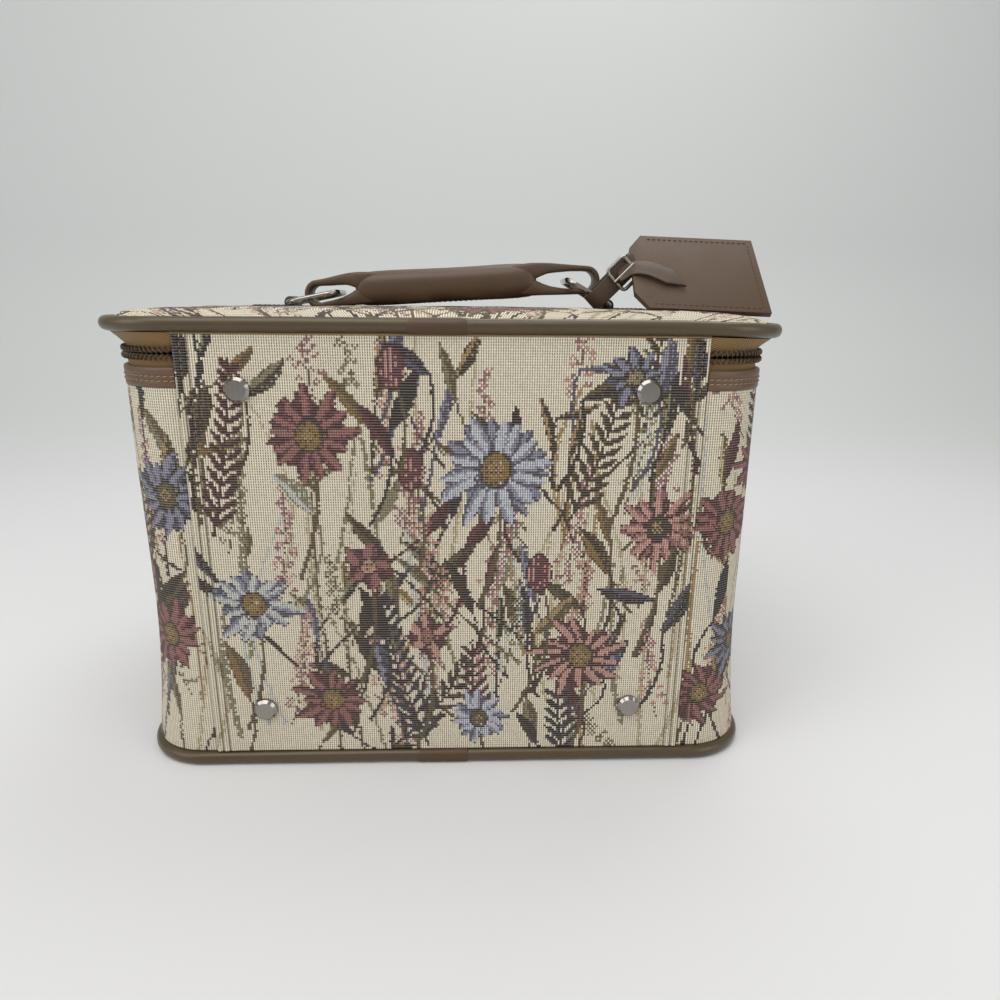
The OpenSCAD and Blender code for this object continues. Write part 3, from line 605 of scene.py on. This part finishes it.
# The lining: thin gold-brown satin over the inside of the walls and the floor, and over the lid's underside,
# glued to the board and turned in under the zip facing.
satin, tree, shader = new_finish("lining_satin")
# The satin's slightly darker gap colour is painted shade between its ribs.
ribs = add(tree, "Group", node_tree=weave, Thread=shade(176, 150, 106), Weft=shade(186, 160, 116),
           Gap=shade(150, 126, 86), Cells=1400.0)
plug(shader, Base_Color=ribs.outputs["Colour"], Roughness=0.55, Sheen_Weight=0.2)
bumped(shader, ribs.outputs["Height"], 0.25, 0.0001)


def grown(out):
    """The walls' outline, this far out."""
    return [size + out for size in wall]


lining_in, floor_z = 5.0, 4.0
lining_long = round_length(*grown(-lining_in))
at = np.linspace(0, lining_long, 300, endpoint=False)
spots, outs = walk(at, *grown(-lining_in))
heights = np.concatenate([[206.3, 205.9, 204.0], np.linspace(198, 8, 34), [5.0, 4.1]])
rows = np.zeros((len(heights), len(at), 3))
for k, z in enumerate(heights):
    loose = 0.35 * np.sin(at / 23 + z / 40) * np.sin(z / 30) * (4.2 < z < 204)
    rows[k, :, :2] = spots - outs * (0.1 + np.abs(loose))[:, None]
    rows[k, :, 2] = z
hoops = []
for share in (0.85, 0.65, 0.45, 0.25, 0.08):
    hoop = rows[-1].copy()
    hoop[:, :2] *= share
    hoop[:, 2] = floor_z + 0.25 * np.sin(hoop[:, 0] / 20) * np.cos(hoop[:, 1] / 17)
    hoops.append(hoop)
rows = np.concatenate([rows, np.array(hoops)])
down = rows[:, :, 2] + np.hypot(rows[:, :, 0], rows[:, :, 1])
lining = piece("body_lining_satin", rows * MM, quads(len(rows), len(at), True), satin, "case",
               ("body_lining",), np.stack([np.broadcast_to(at, rows.shape[:2]), down], -1) / 1000)

# The hinge panel: a flap of tapestry over the back that joins the lid to the walls. Its two sides are folded
# under and sewn down with two rows of stitches. Four nickel studs on washers hold it, and a strip of lining
# covers the fold where it meets the lid.
panel_half, panel_low, panel_high, panel_y = 122.3, 7.7, 222.2, -100.0
panel_wide, panel_tall = 2 * panel_half, panel_high - panel_low
valleys, valley_take_up = (3.5, 7.0), 0.9
panel_loom = Loom(panel_wide, panel_tall, 1.12, 1.26, 23)
panel_loom.sow(flowers=False)
for x, y, long, lean, tones in (
        (40, 14, 70, 12, "pink mauve"), (100, 116, 64, 10, "mauve rose"), (128, 74, 56, -16, "pink rose"),
        (176, 86, 70, 14, "mauve pink"), (232, 18, 60, -8, "pink mauve"), (16, 110, 60, 8, "sage olive"),
        (208, 132, 60, 12, "mist sage"), (74, 60, 50, -10, "sage olive"), (150, 40, 54, 8, "sage mist")):
    panel_loom.heather(x, y, long, lean, *tones.split())
for x, y, long, lean, tones, leaf in (
        (112, 2, 86, -22, "slate ink", 15), (182, 128, 74, 24, "olive moss", 14),
        (10, 120, 84, 14, "wine burgundy", 12)):
    panel_loom.sprig(x, y, long, lean, *tones.split(), leaf)
for x, y, angle, long, wide, tones in (
        (96, 170, 1.2, 34, 4.2, "ink ink"), (116, 196, 2.6, 28, 4.0, "slate ink"),
        (204, 98, 2.2, 32, 4.4, "gold moss"), (166, 66, 0.9, 30, 4.2, "tan olive"),
        (20, 30, 1.9, 34, 4.6, "gold olive"), (92, 62, 2.0, 34, 4.2, "ink ink"),
        (232, 66, 1.2, 32, 4.0, "slate ink"), (60, 130, 2.4, 28, 4.2, "mist sage"),
        (130, 112, 1.0, 26, 3.8, "wine burgundy"), (186, 186, 0.5, 28, 4.0, "olive ink"),
        (222, 186, 1.5, 30, 4.2, "lavender slate"), (30, 186, 0.8, 26, 4.2, "sage moss")):
    light, dark = tones.split()
    panel_loom.stem(x - 10, y - 44, x, y, 5, 1.0, dark)
    panel_loom.leaf(x, y, angle, long, wide, light, dark)
for x, y, r, petals, tones, flat, broad in (
        (146, 152, 33, 14, "slate lavender sky gold", 0.95, 0.13),
        (58, 168, 28, 13, "burgundy wine rose gold", 0.95, 0.13),
        (190, 54, 29, 14, "burgundy wine pink gold", 0.92, 0.12),
        (26, 84, 26, 12, "slate lavender mist gold", 0.95, 0.14),
        (84, 104, 17, 5, "burgundy wine rose pink", 0.9, 0.32),
        (112, 66, 16, 5, "burgundy wine pink rose", 1.0, 0.32),
        (226, 124, 25, 12, "burgundy rose pink moss", 0.9, 0.14),
        (62, 30, 24, 12, "burgundy wine rose gold", 0.95, 0.14),
        (210, 196, 19, 9, "ink slate lavender sage", 0.8, 0.17),
        (138, 18, 21, 11, "slate lavender sky olive", 0.9, 0.15)):
    panel_loom.stem(x - 8, y - 70, x, y, 6, 1.2, "olive")
    panel_loom.daisy(x, y, r, petals, *tones.split(), flat, broad)
for x, y in ((106, 152), (168, 100), (98, 200)):
    panel_loom.stem(x + 3, y - 50, x, y, 4, 1.0, "olive")
    panel_loom.bud(x, y, 6.5)
near = np.array([0, 0.35, 0.8, 1.4, 2.1, 2.7, 3.1, 3.5, 3.9, 4.4, 5.2, 6.0, 6.5, 7.0, 7.5, 8.2, 9.2])
inner_cols = int((panel_wide - 2 * near[-1]) / panel_loom.across)
inner = np.linspace(near[-1], panel_wide - near[-1], inner_cols + 1)
across = np.concatenate([near, inner[1:-1], panel_wide - near[::-1]])
up = np.linspace(0, panel_tall, panel_loom.rows + 1)
gx, gz = np.meshgrid(across - panel_half, up + panel_low)
edge = panel_half - np.abs(gx)
fold = np.interp(edge, (0, 0.35, 0.8, 1.6, 2.7, 3.5, 4.4, 5.2, 6.2, 7.0, 8.0, 9.2, 12),
                 (-1.1, -0.2, 0.35, 0.6, 0.35, -0.45, 0.35, 0.5, 0.3, -0.4, 0.1, 0.12, 0.0))
slack = 0.35 * np.sin(gx / 21 + 1) * np.sin(gz / 27) + 0.22 * np.sin(gx / 8.5 + gz / 13)
slack = slack * np.clip(edge / 20, 0, 1) * np.clip((panel_high - gz) / 12, 0, 1)
slack = slack * np.clip((gz - panel_low) / 12, 0, 1)
pucker = (edge < 9.5) * 0.12 * np.sin(gz * 1.8)
for x in (-94.8, 94.8):
    for z in (32.4, 197.6):
        slack = slack - 0.5 * np.exp(-((gx - x) ** 2 + (gz - z) ** 2) / 90)
panel_points = np.stack([gx, panel_y - (fold + slack + pucker + 0.15), gz], -1)
mid_edge = (across[1:] + across[:-1]) / 2
mid_edge = np.minimum(mid_edge, panel_wide - mid_edge)
# Along the two stitch valleys near each side, the threads are made up to 62 % darker: painted shade in the
# grooves.
groove = sum(np.exp(-((mid_edge - valley) / 0.45) ** 2) for valley in valleys)
painted_groove_shade = (1 - 0.62 * np.clip(groove, 0, 1))[None, :, None]
hinge_panel = piece("hinge_panel_cloth", panel_points * MM, quads(*gx.shape), tapestry, "case",
                    ("hinge_panel",), cells(panel_loom, across, up), woven(panel_loom, across, up, painted_groove_shade))


def thread_finish(name, colour):
    """Sewing thread: matt, with the twist of its plies, and painted shade in the grooves between them."""
    finish, tree, shader = new_finish(name)
    ply = add(tree, "TexWave", Vector=spot(tree, "Object"), Scale=700.0, Distortion=1.5).outputs["Fac"]
    dark = tuple(0.6 * v for v in colour[:3]) + (1,)
    plug(shader, Base_Color=tinted(tree, ply, dark, colour), Roughness=0.75)
    bumped(shader, ply, 0.4, 0.0001)
    return finish


def unit(ways):
    """Directions, each of length one."""
    return ways / np.linalg.norm(ways, axis=1, keepdims=True)


def stitches(name, places, ways, ups, long, thick, finish, body):
    """Rows of stitches as one mesh: each a short thread that dives into the work at both ends."""
    places, ways, ups = np.broadcast_arrays(*(np.asarray(v, float) for v in (places, ways, ups)))
    ways = unit(ways)
    sides = np.cross(ups, ways)
    shape = []
    for t, fat, lift in ((-1, 0.35, -0.9), (-0.8, 0.85, -0.2), (-0.3, 1, 0.25), (0.3, 1, 0.25),
                         (0.8, 0.85, -0.2), (1, 0.35, -0.9)):
        for a in np.linspace(0, 2 * math.pi, 6, endpoint=False):
            shape.append((t * long / 2, fat * thick * math.cos(a), lift * thick + fat * thick * math.sin(a)))
    shape = np.array(shape)
    points = (places[:, None] + ways[:, None] * shape[None, :, :1] + sides[:, None] * shape[None, :, 1:2]
              + ups[:, None] * shape[None, :, 2:])
    faces = (quads(6, 6, True)[None] + (np.arange(len(places)) * len(shape))[:, None, None]).reshape(-1, 4)
    return piece(name, points * MM, faces, finish, body)


seam_thread = thread_finish("panel_thread", shade(150, 136, 108))
places = [(side * (panel_half - valley), panel_y + 0.05, z) for side in (-1, 1) for valley in valleys
          for z in np.arange(panel_low + 2, panel_high - 2, 3.3)]
panel_rows = stitches("hinge_panel_stitches", places, (0, 0, 1), (0, -1, 0), 2.3, 0.26, seam_thread,
                      "case")
fold_line = ((-100.15, 222.3), (-99.6, 223.55), (-99.15, 222.6), (-99.0, 218), (-98.95, 211), (-98.9, 203))
fold_in = 0.1
across = np.linspace(-panel_half + fold_in, panel_half - fold_in, 120)
rows = np.array([[(x, y, z) for x in across] for y, z in fold_line])
hinge_lining = piece("hinge_lining_satin", rows * MM, quads(*rows.shape[:2]), satin, "case", (),
                     rows[:, :, [0, 2]] / 1000)


def metal_finish(name, colour, rough, brushed):
    """Plated metal with rub marks, dull spots and a slight darkening in the marks."""
    finish, tree, shader = new_finish(name)
    place = spot(tree, "Object")
    stretch = add(tree, "Mapping", Vector=place, Scale=(1, 1, brushed)).outputs[0]
    rub = add(tree, "TexNoise", Vector=stretch, Scale=700.0, Detail=4.0).outputs["Fac"]
    dull = add(tree, "TexNoise", Vector=place, Scale=90.0, Detail=3.0).outputs["Fac"]
    dark = tuple(0.72 * v for v in colour[:3]) + (1,)
    plug(shader, Base_Color=tinted(tree, maths(tree, "MULTIPLY", rub, 0.8), colour, dark), Metallic=1.0,
         Roughness=maths(tree, "MULTIPLY_ADD", dull, 0.25, rough - 0.1))
    bumped(shader, rub, 0.03, 0.00002)
    return finish


nickel = metal_finish("nickel_plate", shade(166, 160, 154), 0.12, 0.2)
finish_nodes(nickel, "panel_studs", "stud_washers")

# The zip facing: a strip of brown vinyl that covers the raw top of the walls, folded over its own top edge
# and sewn through the lower zip tape with two rows of tan stitches.
facing_vinyl = hide_finish("facing_vinyl", shade(92, 69, 48), 1100.0, 0.3, 0.45, 0.25, 0.18)


def band(profile, step):
    """Rows of points for a strip that follows the walls: one for each offset and height of its profile."""
    long = round_length(*grown(profile[0][0])) - 2 * panel_edge
    share = np.linspace(0, 1, int(long / step) + 1)
    rows = []
    for out, z in profile:
        outline = grown(out)
        spots, _ = walk(panel_edge + share * (round_length(*outline) - 2 * panel_edge), *outline)
        rows.append(np.concatenate([spots, np.full((len(spots), 1), z)], 1))
    return np.array(rows), share * long


facing_profile = ((-1.2, 198.2), (0.1, 198.0), (0.45, 198.5), (0.5, 199.6), (0.42, 200.6), (0.22, 201.1),
                  (0.42, 201.6), (0.45, 202.7), (0.22, 203.2), (0.45, 203.7), (0.6, 205.2), (0.62, 206.3),
                  (0.35, 207.1), (-0.3, 207.5), (-1.6, 207.4))
rows, along = band(facing_profile, 2.2)
piece("zip_facing_strip", rows * MM, quads(*rows.shape[:2]), facing_vinyl, "case", ("zip_facing",))
facing_thread = thread_finish("facing_thread", shade(168, 138, 104))
places, ways, ups = [], [], []
at = np.arange(panel_edge + 1.5, round_length(*wall) - panel_edge - 1, 3.2)
spots, outs = walk(at, *wall)
for z in (203.2, 201.1):
    places += [(x + 0.55 * ox, y + 0.55 * oy, z) for (x, y), (ox, oy) in zip(spots, outs)]
    ways += [(-oy, ox, 0.1) for ox, oy in outs]
    ups += [(ox, oy, 0) for ox, oy in outs]
stitches("zip_facing_stitches", places, ways, ups, 2.4, 0.3, facing_thread, "case")

# The zip: two twill tapes, each with a coil of dark nylon sewn along its edge. The lower tape is sewn to the
# walls and the upper one leans out to the lid's seam. Two sliders with pulls meet at the middle of the front.
twill, tree, shader = new_finish("zip_twill")
split = add(tree, "SeparateXYZ", Vector=spot(tree, "UV")).outputs
slant = maths(tree, "ADD", maths(tree, "MULTIPLY", split[0], 800.0),
              maths(tree, "MULTIPLY", split[1], 1100.0))
ridge = maths(tree, "MULTIPLY", maths(tree, "FRACT", slant), 2.0)
ridge = maths(tree, "ABSOLUTE", maths(tree, "SUBTRACT", ridge, 1.0))
# The twill goes from dark brown in its diagonal grooves to tan on its ridges, over the relief the same ridges
# make: painted shade in the grooves.
plug(shader, Base_Color=tinted(tree, ridge, shade(70, 51, 28), shade(166, 130, 78)), Roughness=0.8,
     Sheen_Weight=0.1)
bumped(shader, ridge, 0.6, 0.0003)


def tape(name, profile, body, stands_for):
    """One side of the zip's tape; the lid's is tucked in at both ends and sags with the rim."""
    rows, along = band(profile, 3.0)
    outs, heights = np.array(profile).T
    if body == "lid":
        tuck = np.exp(-np.minimum(along, along[-1] - along) / 9)
        rows[:, :, 1] += (tuck[None, :] * np.maximum(outs, 0)[:, None]) * 0.9
        rows[:, 0, 0] -= 5
        rows[:, -1, 0] += 5
        rows[:, :, 2] += lid_sag(rows[:, :, 0], rows[:, :, 1]) * np.clip((rows[:, :, 2] - 217) / 6, 0, 1)
    made = piece(name, rows * MM, quads(*rows.shape[:2]), twill, body, stands_for,
                 np.stack(np.meshgrid(along, heights), -1) / 1000)


lower_profile = ((-2.2, 199.3), (-2.0, 203), (-1.9, 207.5), (-1.7, 209.2), (-1.9, 211), (-2.0, 212.7))
upper_profile = ((-2.0, 214.1), (-1.8, 215.6), (-1.4, 216.8), (-0.2, 218.2), (1.6, 220.0), (3.4, 221.6),
                 (4.6, 222.9))
tape("lower_zip_tape_twill", lower_profile, "case", ("lower_zip_tape",))
tape("upper_zip_tape_twill", upper_profile, "lid", ("upper_zip_tape",))
nylon, tree, shader = new_finish("coil_nylon")
scuff = add(tree, "TexNoise", Vector=spot(tree, "Object"), Scale=500.0, Detail=3.0).outputs["Fac"]
plug(shader, Base_Color=tinted(tree, scuff, shade(44, 34, 24), shade(108, 88, 64)), Roughness=0.38)
bumped(shader, scuff, 0.1, 0.0001)


def coil(name, z, body, stands_for, way):
    """A wound coil, one turn for each tooth, that runs along the tape's edge."""
    out, pitch, per_turn, wire, deep, tall = -0.4, 2.6, 10, 0.42, 0.98, 1.2
    outline = grown(out)
    total = round_length(*outline)
    turns = int((total - 2 * panel_edge) / pitch)
    at = np.linspace(panel_edge, total - panel_edge, turns * per_turn + 1)
    wind = way * (at - panel_edge) / pitch * 2 * math.pi
    spots, outs = walk(at, *outline)
    line = np.zeros((len(at), 3))
    line[:, :2] = spots + outs * (deep * np.cos(wind))[:, None]
    line[:, 2] = z + tall * np.sin(wind)
    ahead = unit(np.gradient(line, axis=0))
    mid = np.concatenate([outs * np.cos(wind)[:, None], np.sin(wind)[:, None]], 1)
    mid = unit(mid - ahead * (mid * ahead).sum(1, keepdims=True))
    side = np.cross(ahead, mid)
    rows = [line + wire * (math.cos(a) * mid + math.sin(a) * side)
            for a in np.linspace(0, 2 * math.pi, 6)[:-1]]
    rows.append(rows[0])
    piece(name, np.array(rows) * MM, quads(6, len(at)), nylon, body, stands_for)


coil("lower_zip_coil_turns", 211.75, "case", ("lower_zip_coil",), 1)
coil("upper_zip_coil_turns", 215.05, "lid", ("upper_zip_coil",), -1)
zip_metal = metal_finish("zip_metal", shade(150, 140, 124), 0.32, 0.1)
finish_nodes(zip_metal, "slider_left", "slider_right", "pull_left", "pull_right")

# The lid: foam on a board under a panel of tapestry that is crowned in the middle, pulled down where the
# handle's tabs are sewn, and caught in the piping at its edge. Its underside is lined like the walls.
lid_half, lid_deep, lid_corner, lid_caught, lid_piping_z = 158.6, 96.1, 29.1, 0.5, 226.6
lid_loom = Loom(2 * lid_half, 2 * lid_deep, 1.3, 1.26, 91)
lid_loom.sow(flowers=False)
lid_loom.sow()
step_in, first = np.array([0, 0.5, 1.1, 1.8, 2.8]), 4
across, up = (np.concatenate([step_in, np.linspace(first, long - first, lines), long - step_in[::-1]])
              for long, lines in ((2 * lid_half, lid_loom.cols - 5), (2 * lid_deep, lid_loom.rows - 7)))
gx, gy = rounded_grid(across - lid_half, up - lid_deep, lid_half, lid_deep, lid_corner)
over_x, over_y = np.abs(gx) - (lid_half - lid_corner), np.abs(gy) - (lid_deep - lid_corner)
in_corner = (over_x > 0) & (over_y > 0)
inside = lid_corner - np.where(in_corner, np.hypot(over_x, over_y), np.maximum(over_x, over_y))
rise = np.interp(inside, (0, 0.6, 1.5, 4, 10, 24, 45), (0, 2.2, 3.4, 4.8, 6.0, 6.8, 7.0))
crown = 0.9 * np.clip(1 - (gx / 150) ** 2, 0, 1) * np.clip(1 - (gy / 90) ** 2, 0, 1)
for x in (-102, 101):
    crown = crown * (1 - np.exp(-((gx - x) / 20) ** 2 - (gy / 15) ** 2))
    crown = crown - 0.3 * np.exp(-((gx - x) / 12) ** 2 - (gy / 9) ** 2)
soft = 0.22 * np.sin(gx / 17 + 0.6) * np.sin(gy / 13) + 0.12 * np.sin(gx / 6 + gy / 9)
soft = np.clip(inside / 14, 0, 1) * soft
lid_points = np.stack([gx * (1 + lid_caught / lid_half), gy * (1 + lid_caught / lid_deep),
                       lid_piping_z + rise + crown + soft + lid_sag(gx, gy)], -1)
lid_top = piece("lid_padded_cloth", lid_points * MM, quads(*gx.shape), tapestry, "lid",
                ("lid_panel", "lid_foam"), cells(lid_loom, across, up), woven(lid_loom, across, up))
low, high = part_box("lid_lining")
lining_half, lining_deep = (high[0] - low[0]) / 2 / MM, (high[1] - low[1]) / 2 / MM
across, up = np.linspace(-lining_half, lining_half, 90), np.linspace(-lining_deep, lining_deep, 60)
gx, gy = rounded_grid(across, up, lining_half, lining_deep, lid_corner)
under = low[2] / MM + 0.15 + 0.12 * np.sin(gx / 15) * np.cos(gy / 12)
lid_lining = piece("lid_lining_satin", np.stack([gx, gy, under], -1) * MM, quads(*gx.shape)[:, ::-1], satin,
                   "lid", ("lid_lining",), np.stack(np.meshgrid(across, up), -1) / 1000)
piping("lid_piping", lid_piping_z, "lid")

# The handle's fittings: a leather tab at each end, folded round the ring's bar, laid flat on the lid and sewn
# through it in a box, and the two nickel wire rings that the handle hangs on.
brown_leather = hide_finish("brown_leather", shade(70, 53, 38), 800.0, 0.35, 0.5, 0.3, 0.08)
leather_thread = thread_finish("leather_thread", shade(70, 52, 38))


def soft_copy(node, ease, finish, body):
    """A leather piece cut to its solid's outline, with its edges eased over."""
    shape = bmesh.new()
    shape.from_mesh(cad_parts[node].data)
    bmesh.ops.remove_doubles(shape, verts=shape.verts, dist=1e-6)
    bmesh.ops.dissolve_limit(shape, angle_limit=math.radians(2), verts=shape.verts, edges=shape.edges)
    sharp = [edge for edge in shape.edges
             if len(edge.link_faces) == 2 and edge.calc_face_angle(0) > math.radians(35)]
    bmesh.ops.bevel(shape, geom=sharp, offset=ease * MM, segments=3, profile=0.5, affect="EDGES",
                    clamp_overlap=True)
    bmesh.ops.triangulate(shape, faces=shape.faces)
    mesh = bpy.data.meshes.new(f"{node}_leather")
    shape.to_mesh(mesh)
    shape.free()
    settle(f"{node}_leather", mesh, finish, body, (node,))
    mesh.set_sharp_from_angle(angle=math.radians(40))


tab_sewn, tab_row, tab_thick = 17.5, 5.8, 1.8
for side, name in ((-1, "left"), (1, "right")):
    soft_copy(f"handle_tab_{name}", 0.5, brown_leather, "lid")
    low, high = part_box(f"handle_tab_{name}")
    outer = (low[0] if side < 0 else high[0]) / MM
    inner = outer - side * tab_sewn
    top = low[2] / MM + tab_thick
    places = [(x, y, top) for x in np.arange(min(inner, outer) + 1.6, max(inner, outer) - 1, 2.6)
              for y in (-tab_row, tab_row)]
    ends = [(x, y, top) for x in (inner + side * 1.2, outer - side * 1.2) for y in np.arange(-4.4, 5, 2.6)]
    ways = [(1, 0, 0)] * len(places) + [(0, 1, 0)] * len(ends)
    stitches(f"handle_tab_{name}_stitches", places + ends, ways, (0, 0, 1), 2.0, 0.24, leather_thread,
             "lid")
finish_nodes(nickel, "ring_left", "ring_right")

# The handle: a padded leather grip, wrapped and sewn along its underside, with a strap that runs through it
# and folds back round each ring as a loop.
handle_leather = hide_finish("handle_leather", shade(80, 59, 40), 700.0, 0.3, 0.48, 0.25, 0.1)
handle_at, handle_lean = (1 * MM, 0, 246.8 * MM), math.radians(-3.5)
handle_frame = np.array(Matrix.Translation(handle_at) @ Matrix.Rotation(handle_lean, 4, "Y"))


def placed(points, own_frame):
    """Points of a piece's own frame, in millimetres, as points of the case's, in metres."""
    points = np.asarray(points, float).reshape(-1, 3) * MM
    return points @ own_frame[:3, :3].T + own_frame[:3, 3]


grip_half, grip_high, grip_square = 13.0, 9.7, 0.72
grip_line = ((-55.0, 0.5, 0.45), (-54.6, 0.76, 0.76), (-53.6, 0.86, 0.89), (-50, 0.92, 0.95),
             (-44, 0.975, 0.985), (-36, 1, 1), (-20, 0.985, 0.985), (-4, 0.965, 0.965), (12, 0.97, 0.97),
             (28, 1, 1), (37, 0.975, 0.985), (43, 0.92, 0.95), (46.4, 0.86, 0.89), (47.4, 0.76, 0.76),
             (47.8, 0.5, 0.45))
around = np.linspace(0, 2 * math.pi, 48, endpoint=False)
c, s = np.cos(around), np.sin(around)
rows = []
for x, wide, high in grip_line:
    y = grip_half * wide * np.sign(c) * np.abs(c) ** grip_square
    z = grip_high * high * np.sign(s) * np.abs(s) ** grip_square
    z = z + 0.7 * np.exp(-(y / 2.0) ** 2) * (z < -4)
    rows.append(np.stack([np.full_like(y, x), y, z], -1))
grip = piece("handle_grip_leather", placed(rows, handle_frame), quads(len(rows), 48, True)[:, ::-1],
             handle_leather, "handle", ("handle",))


def strap_ribbon(line, widths, thick):
    """Rows of points for a strap with eased edges, its outer face on a line in the handle's middle plane."""
    ahead = unit(np.gradient(line, axis=0))
    normal = np.stack([-ahead[:, 1], ahead[:, 0]], -1)
    ring = ((-1, 0.5), (-0.985, 0.16), (-0.93, 0.03), (-0.5, 0), (0, -0.02), (0.5, 0), (0.93, 0.03),
            (0.985, 0.16), (1, 0.5), (0.985, 0.84), (0.93, 0.97), (0, 1), (-0.93, 0.97), (-0.985, 0.84))
    rows = np.zeros((len(line), len(ring), 3))
    for k, (y, deep) in enumerate(ring):
        rows[:, k, 0] = line[:, 0] - normal[:, 0] * deep * thick
        rows[:, k, 2] = line[:, 1] - normal[:, 1] * deep * thick
        rows[:, k, 1] = y * widths / 2
    return rows


def smooth_line(points, count):
    """Evenly spaced points on a smooth curve through these points."""
    points = np.asarray(points, float)
    padded = np.concatenate([[2 * points[0] - points[1]], points, [2 * points[-1] - points[-2]]])
    t = np.linspace(0, 1, 20, endpoint=False)[:, None]
    fine = []
    for k in range(len(points) - 1):
        a, b, c, d = padded[k:k + 4]
        fine.append(0.5 * (2 * b + (c - a) * t + (2 * a - 5 * b + 4 * c - d) * t ** 2
                           + (3 * b - 3 * c + d - a) * t ** 3))
    fine = np.concatenate(fine + [points[-1:]])
    far = np.concatenate([[0], np.cumsum(np.linalg.norm(np.diff(fine, axis=0), axis=1))])
    at = np.linspace(0, far[-1], count)
    return np.stack([np.interp(at, far, fine[:, k]) for k in range(fine.shape[1])], -1)


loop_x, loop_z, loop_r, loop_turn = 76.3, -1.54, 7.8, 72
for side, name, start in ((-1, "left", 53.6), (1, "right", 46.4)):
    turn = [(loop_x + loop_r * math.cos(a), loop_z + loop_r * math.sin(a))
            for a in np.linspace(1.3, -1.45, 9)]
    top, under = ([(start + share * (loop_turn - start), z) for share, z in run] for run in (
        ((0, 9.35), (0.3, 8.95), (0.65, 7.9), (1, 6.8)), ((1, -9.1), (0.65, -8.9), (0.3, -8.6), (0, -8.4))))
    first, last = [(start - 12, 8.5), (start - 5, 9.2)], [(start - 5, -8.2), (start - 12, -7.6)]
    loop = smooth_line(first + top + turn + under + last, 96)
    out = loop[:, 0] - start
    widths = np.interp(out, (-12, -5, 0, 8, 17, 30), (20, 22.6, 23.2, 20.5, 17.5, 16))
    above = np.interp(out, (-5, 0, 4, 9, 15, 22, 29), (9.4, 9.4, 7.6, 5.6, 4.4, 3.3, 2.7))
    below = np.interp(out, (-5, 0, 4, 9, 15, 22, 29), (8.4, 8.6, 6.6, 4.8, 3.8, 3.0, 2.7))
    rows = strap_ribbon(loop, widths, np.where(loop[:, 1] > -1.5, above, below))
    rows[:, :, 0] *= side
    faces = quads(*rows.shape[:2], True)
    piece(f"handle_loop_{name}_leather", placed(rows, handle_frame), faces if side < 0 else faces[:, ::-1],
          handle_leather, "handle")
spots = placed([(x, -2.6, -9.22) for x in np.arange(-44, 38, 3.0)], handle_frame) / MM
stitches("handle_grip_stitches", spots, handle_frame[:3, 0], -handle_frame[:3, 2], 2.1, 0.28, leather_thread,
         "handle")

# The luggage tag: two leathers sewn round their edge, held by a narrow strap that loops the right ring and
# closes in a small nickel buckle, with the strap's pointed tail left free.
tag_leather = hide_finish("tag_leather", shade(74, 53, 32), 650.0, 0.25, 0.62, 0.25, 0.02)
soft_copy("tag_front", 0.45, tag_leather, "tag")
soft_copy("tag_back", 0.35, brown_leather, "tag")
soft_copy("tag_strap", 0.35, brown_leather, "tag")
tag_at, tag_tilt, tag_turn = (97 * MM, -51.5 * MM, 233.4 * MM), math.radians(39), math.radians(-3)
tag_frame = np.array(Matrix.Translation(tag_at) @ Matrix.Rotation(tag_tilt, 4, "X")
                     @ Matrix.Rotation(tag_turn, 4, "Z"))
tag_long, tag_wide, tag_top, inset, sewn_from = 70, 62, 2.85, 3.2, 9.0
border = [(sewn_from, inset), (tag_long - inset, inset), (tag_long - inset, tag_wide - inset),
          (sewn_from, tag_wide - inset)]
places, ways = [], []
for (x0, y0), (x1, y1) in zip(border[:-1], border[1:]):
    long = math.hypot(x1 - x0, y1 - y0)
    for t in np.arange(1.5, long - 1, 3.0) / long:
        places.append((x0 + (x1 - x0) * t, y0 + (y1 - y0) * t, tag_top))
        ways.append(((x1 - x0) / long, (y1 - y0) / long, 0))
ways = np.asarray(ways) @ tag_frame[:3, :3].T
tag_thread = thread_finish("tag_thread", shade(92, 74, 56))
stitches("tag_stitches", placed(places, tag_frame) / MM, ways, tag_frame[:3, 2], 2.2, 0.24, tag_thread,
         "tag")
finish_nodes(nickel, "tag_buckle", "tag_prong")
tail = smooth_line([(92, -27.4, 251.9), (98.5, -29.8, 255.4), (106.5, -33.4, 255.2), (116, -38, 251.4),
                    (125, -42.5, 246.3)], 40)
ahead = unit(np.gradient(tail, axis=0))
wide = unit(np.cross(np.array((-0.1, -0.7, 0.7)), ahead))
face = np.cross(ahead, wide)
tail_long, tail_half, tail_point = 38, 4.9, 9
left = np.linspace(1, 0, len(tail)) * tail_long
half_wide = tail_half * np.clip(left / tail_point, 0.06, 1)
tail_ring = ((-1, 0), (-0.97, 0.5), (-0.85, 0.7), (0, 0.78), (0.85, 0.7), (0.97, 0.5), (1, 0), (0.95, -0.6),
             (0, -0.7), (-0.95, -0.6))
rows = np.stack([tail + wide * (y * half_wide)[:, None] + face * deep for y, deep in tail_ring], 1)
piece("tag_strap_tail", rows * MM, quads(*rows.shape[:2], True), brown_leather, "tag")
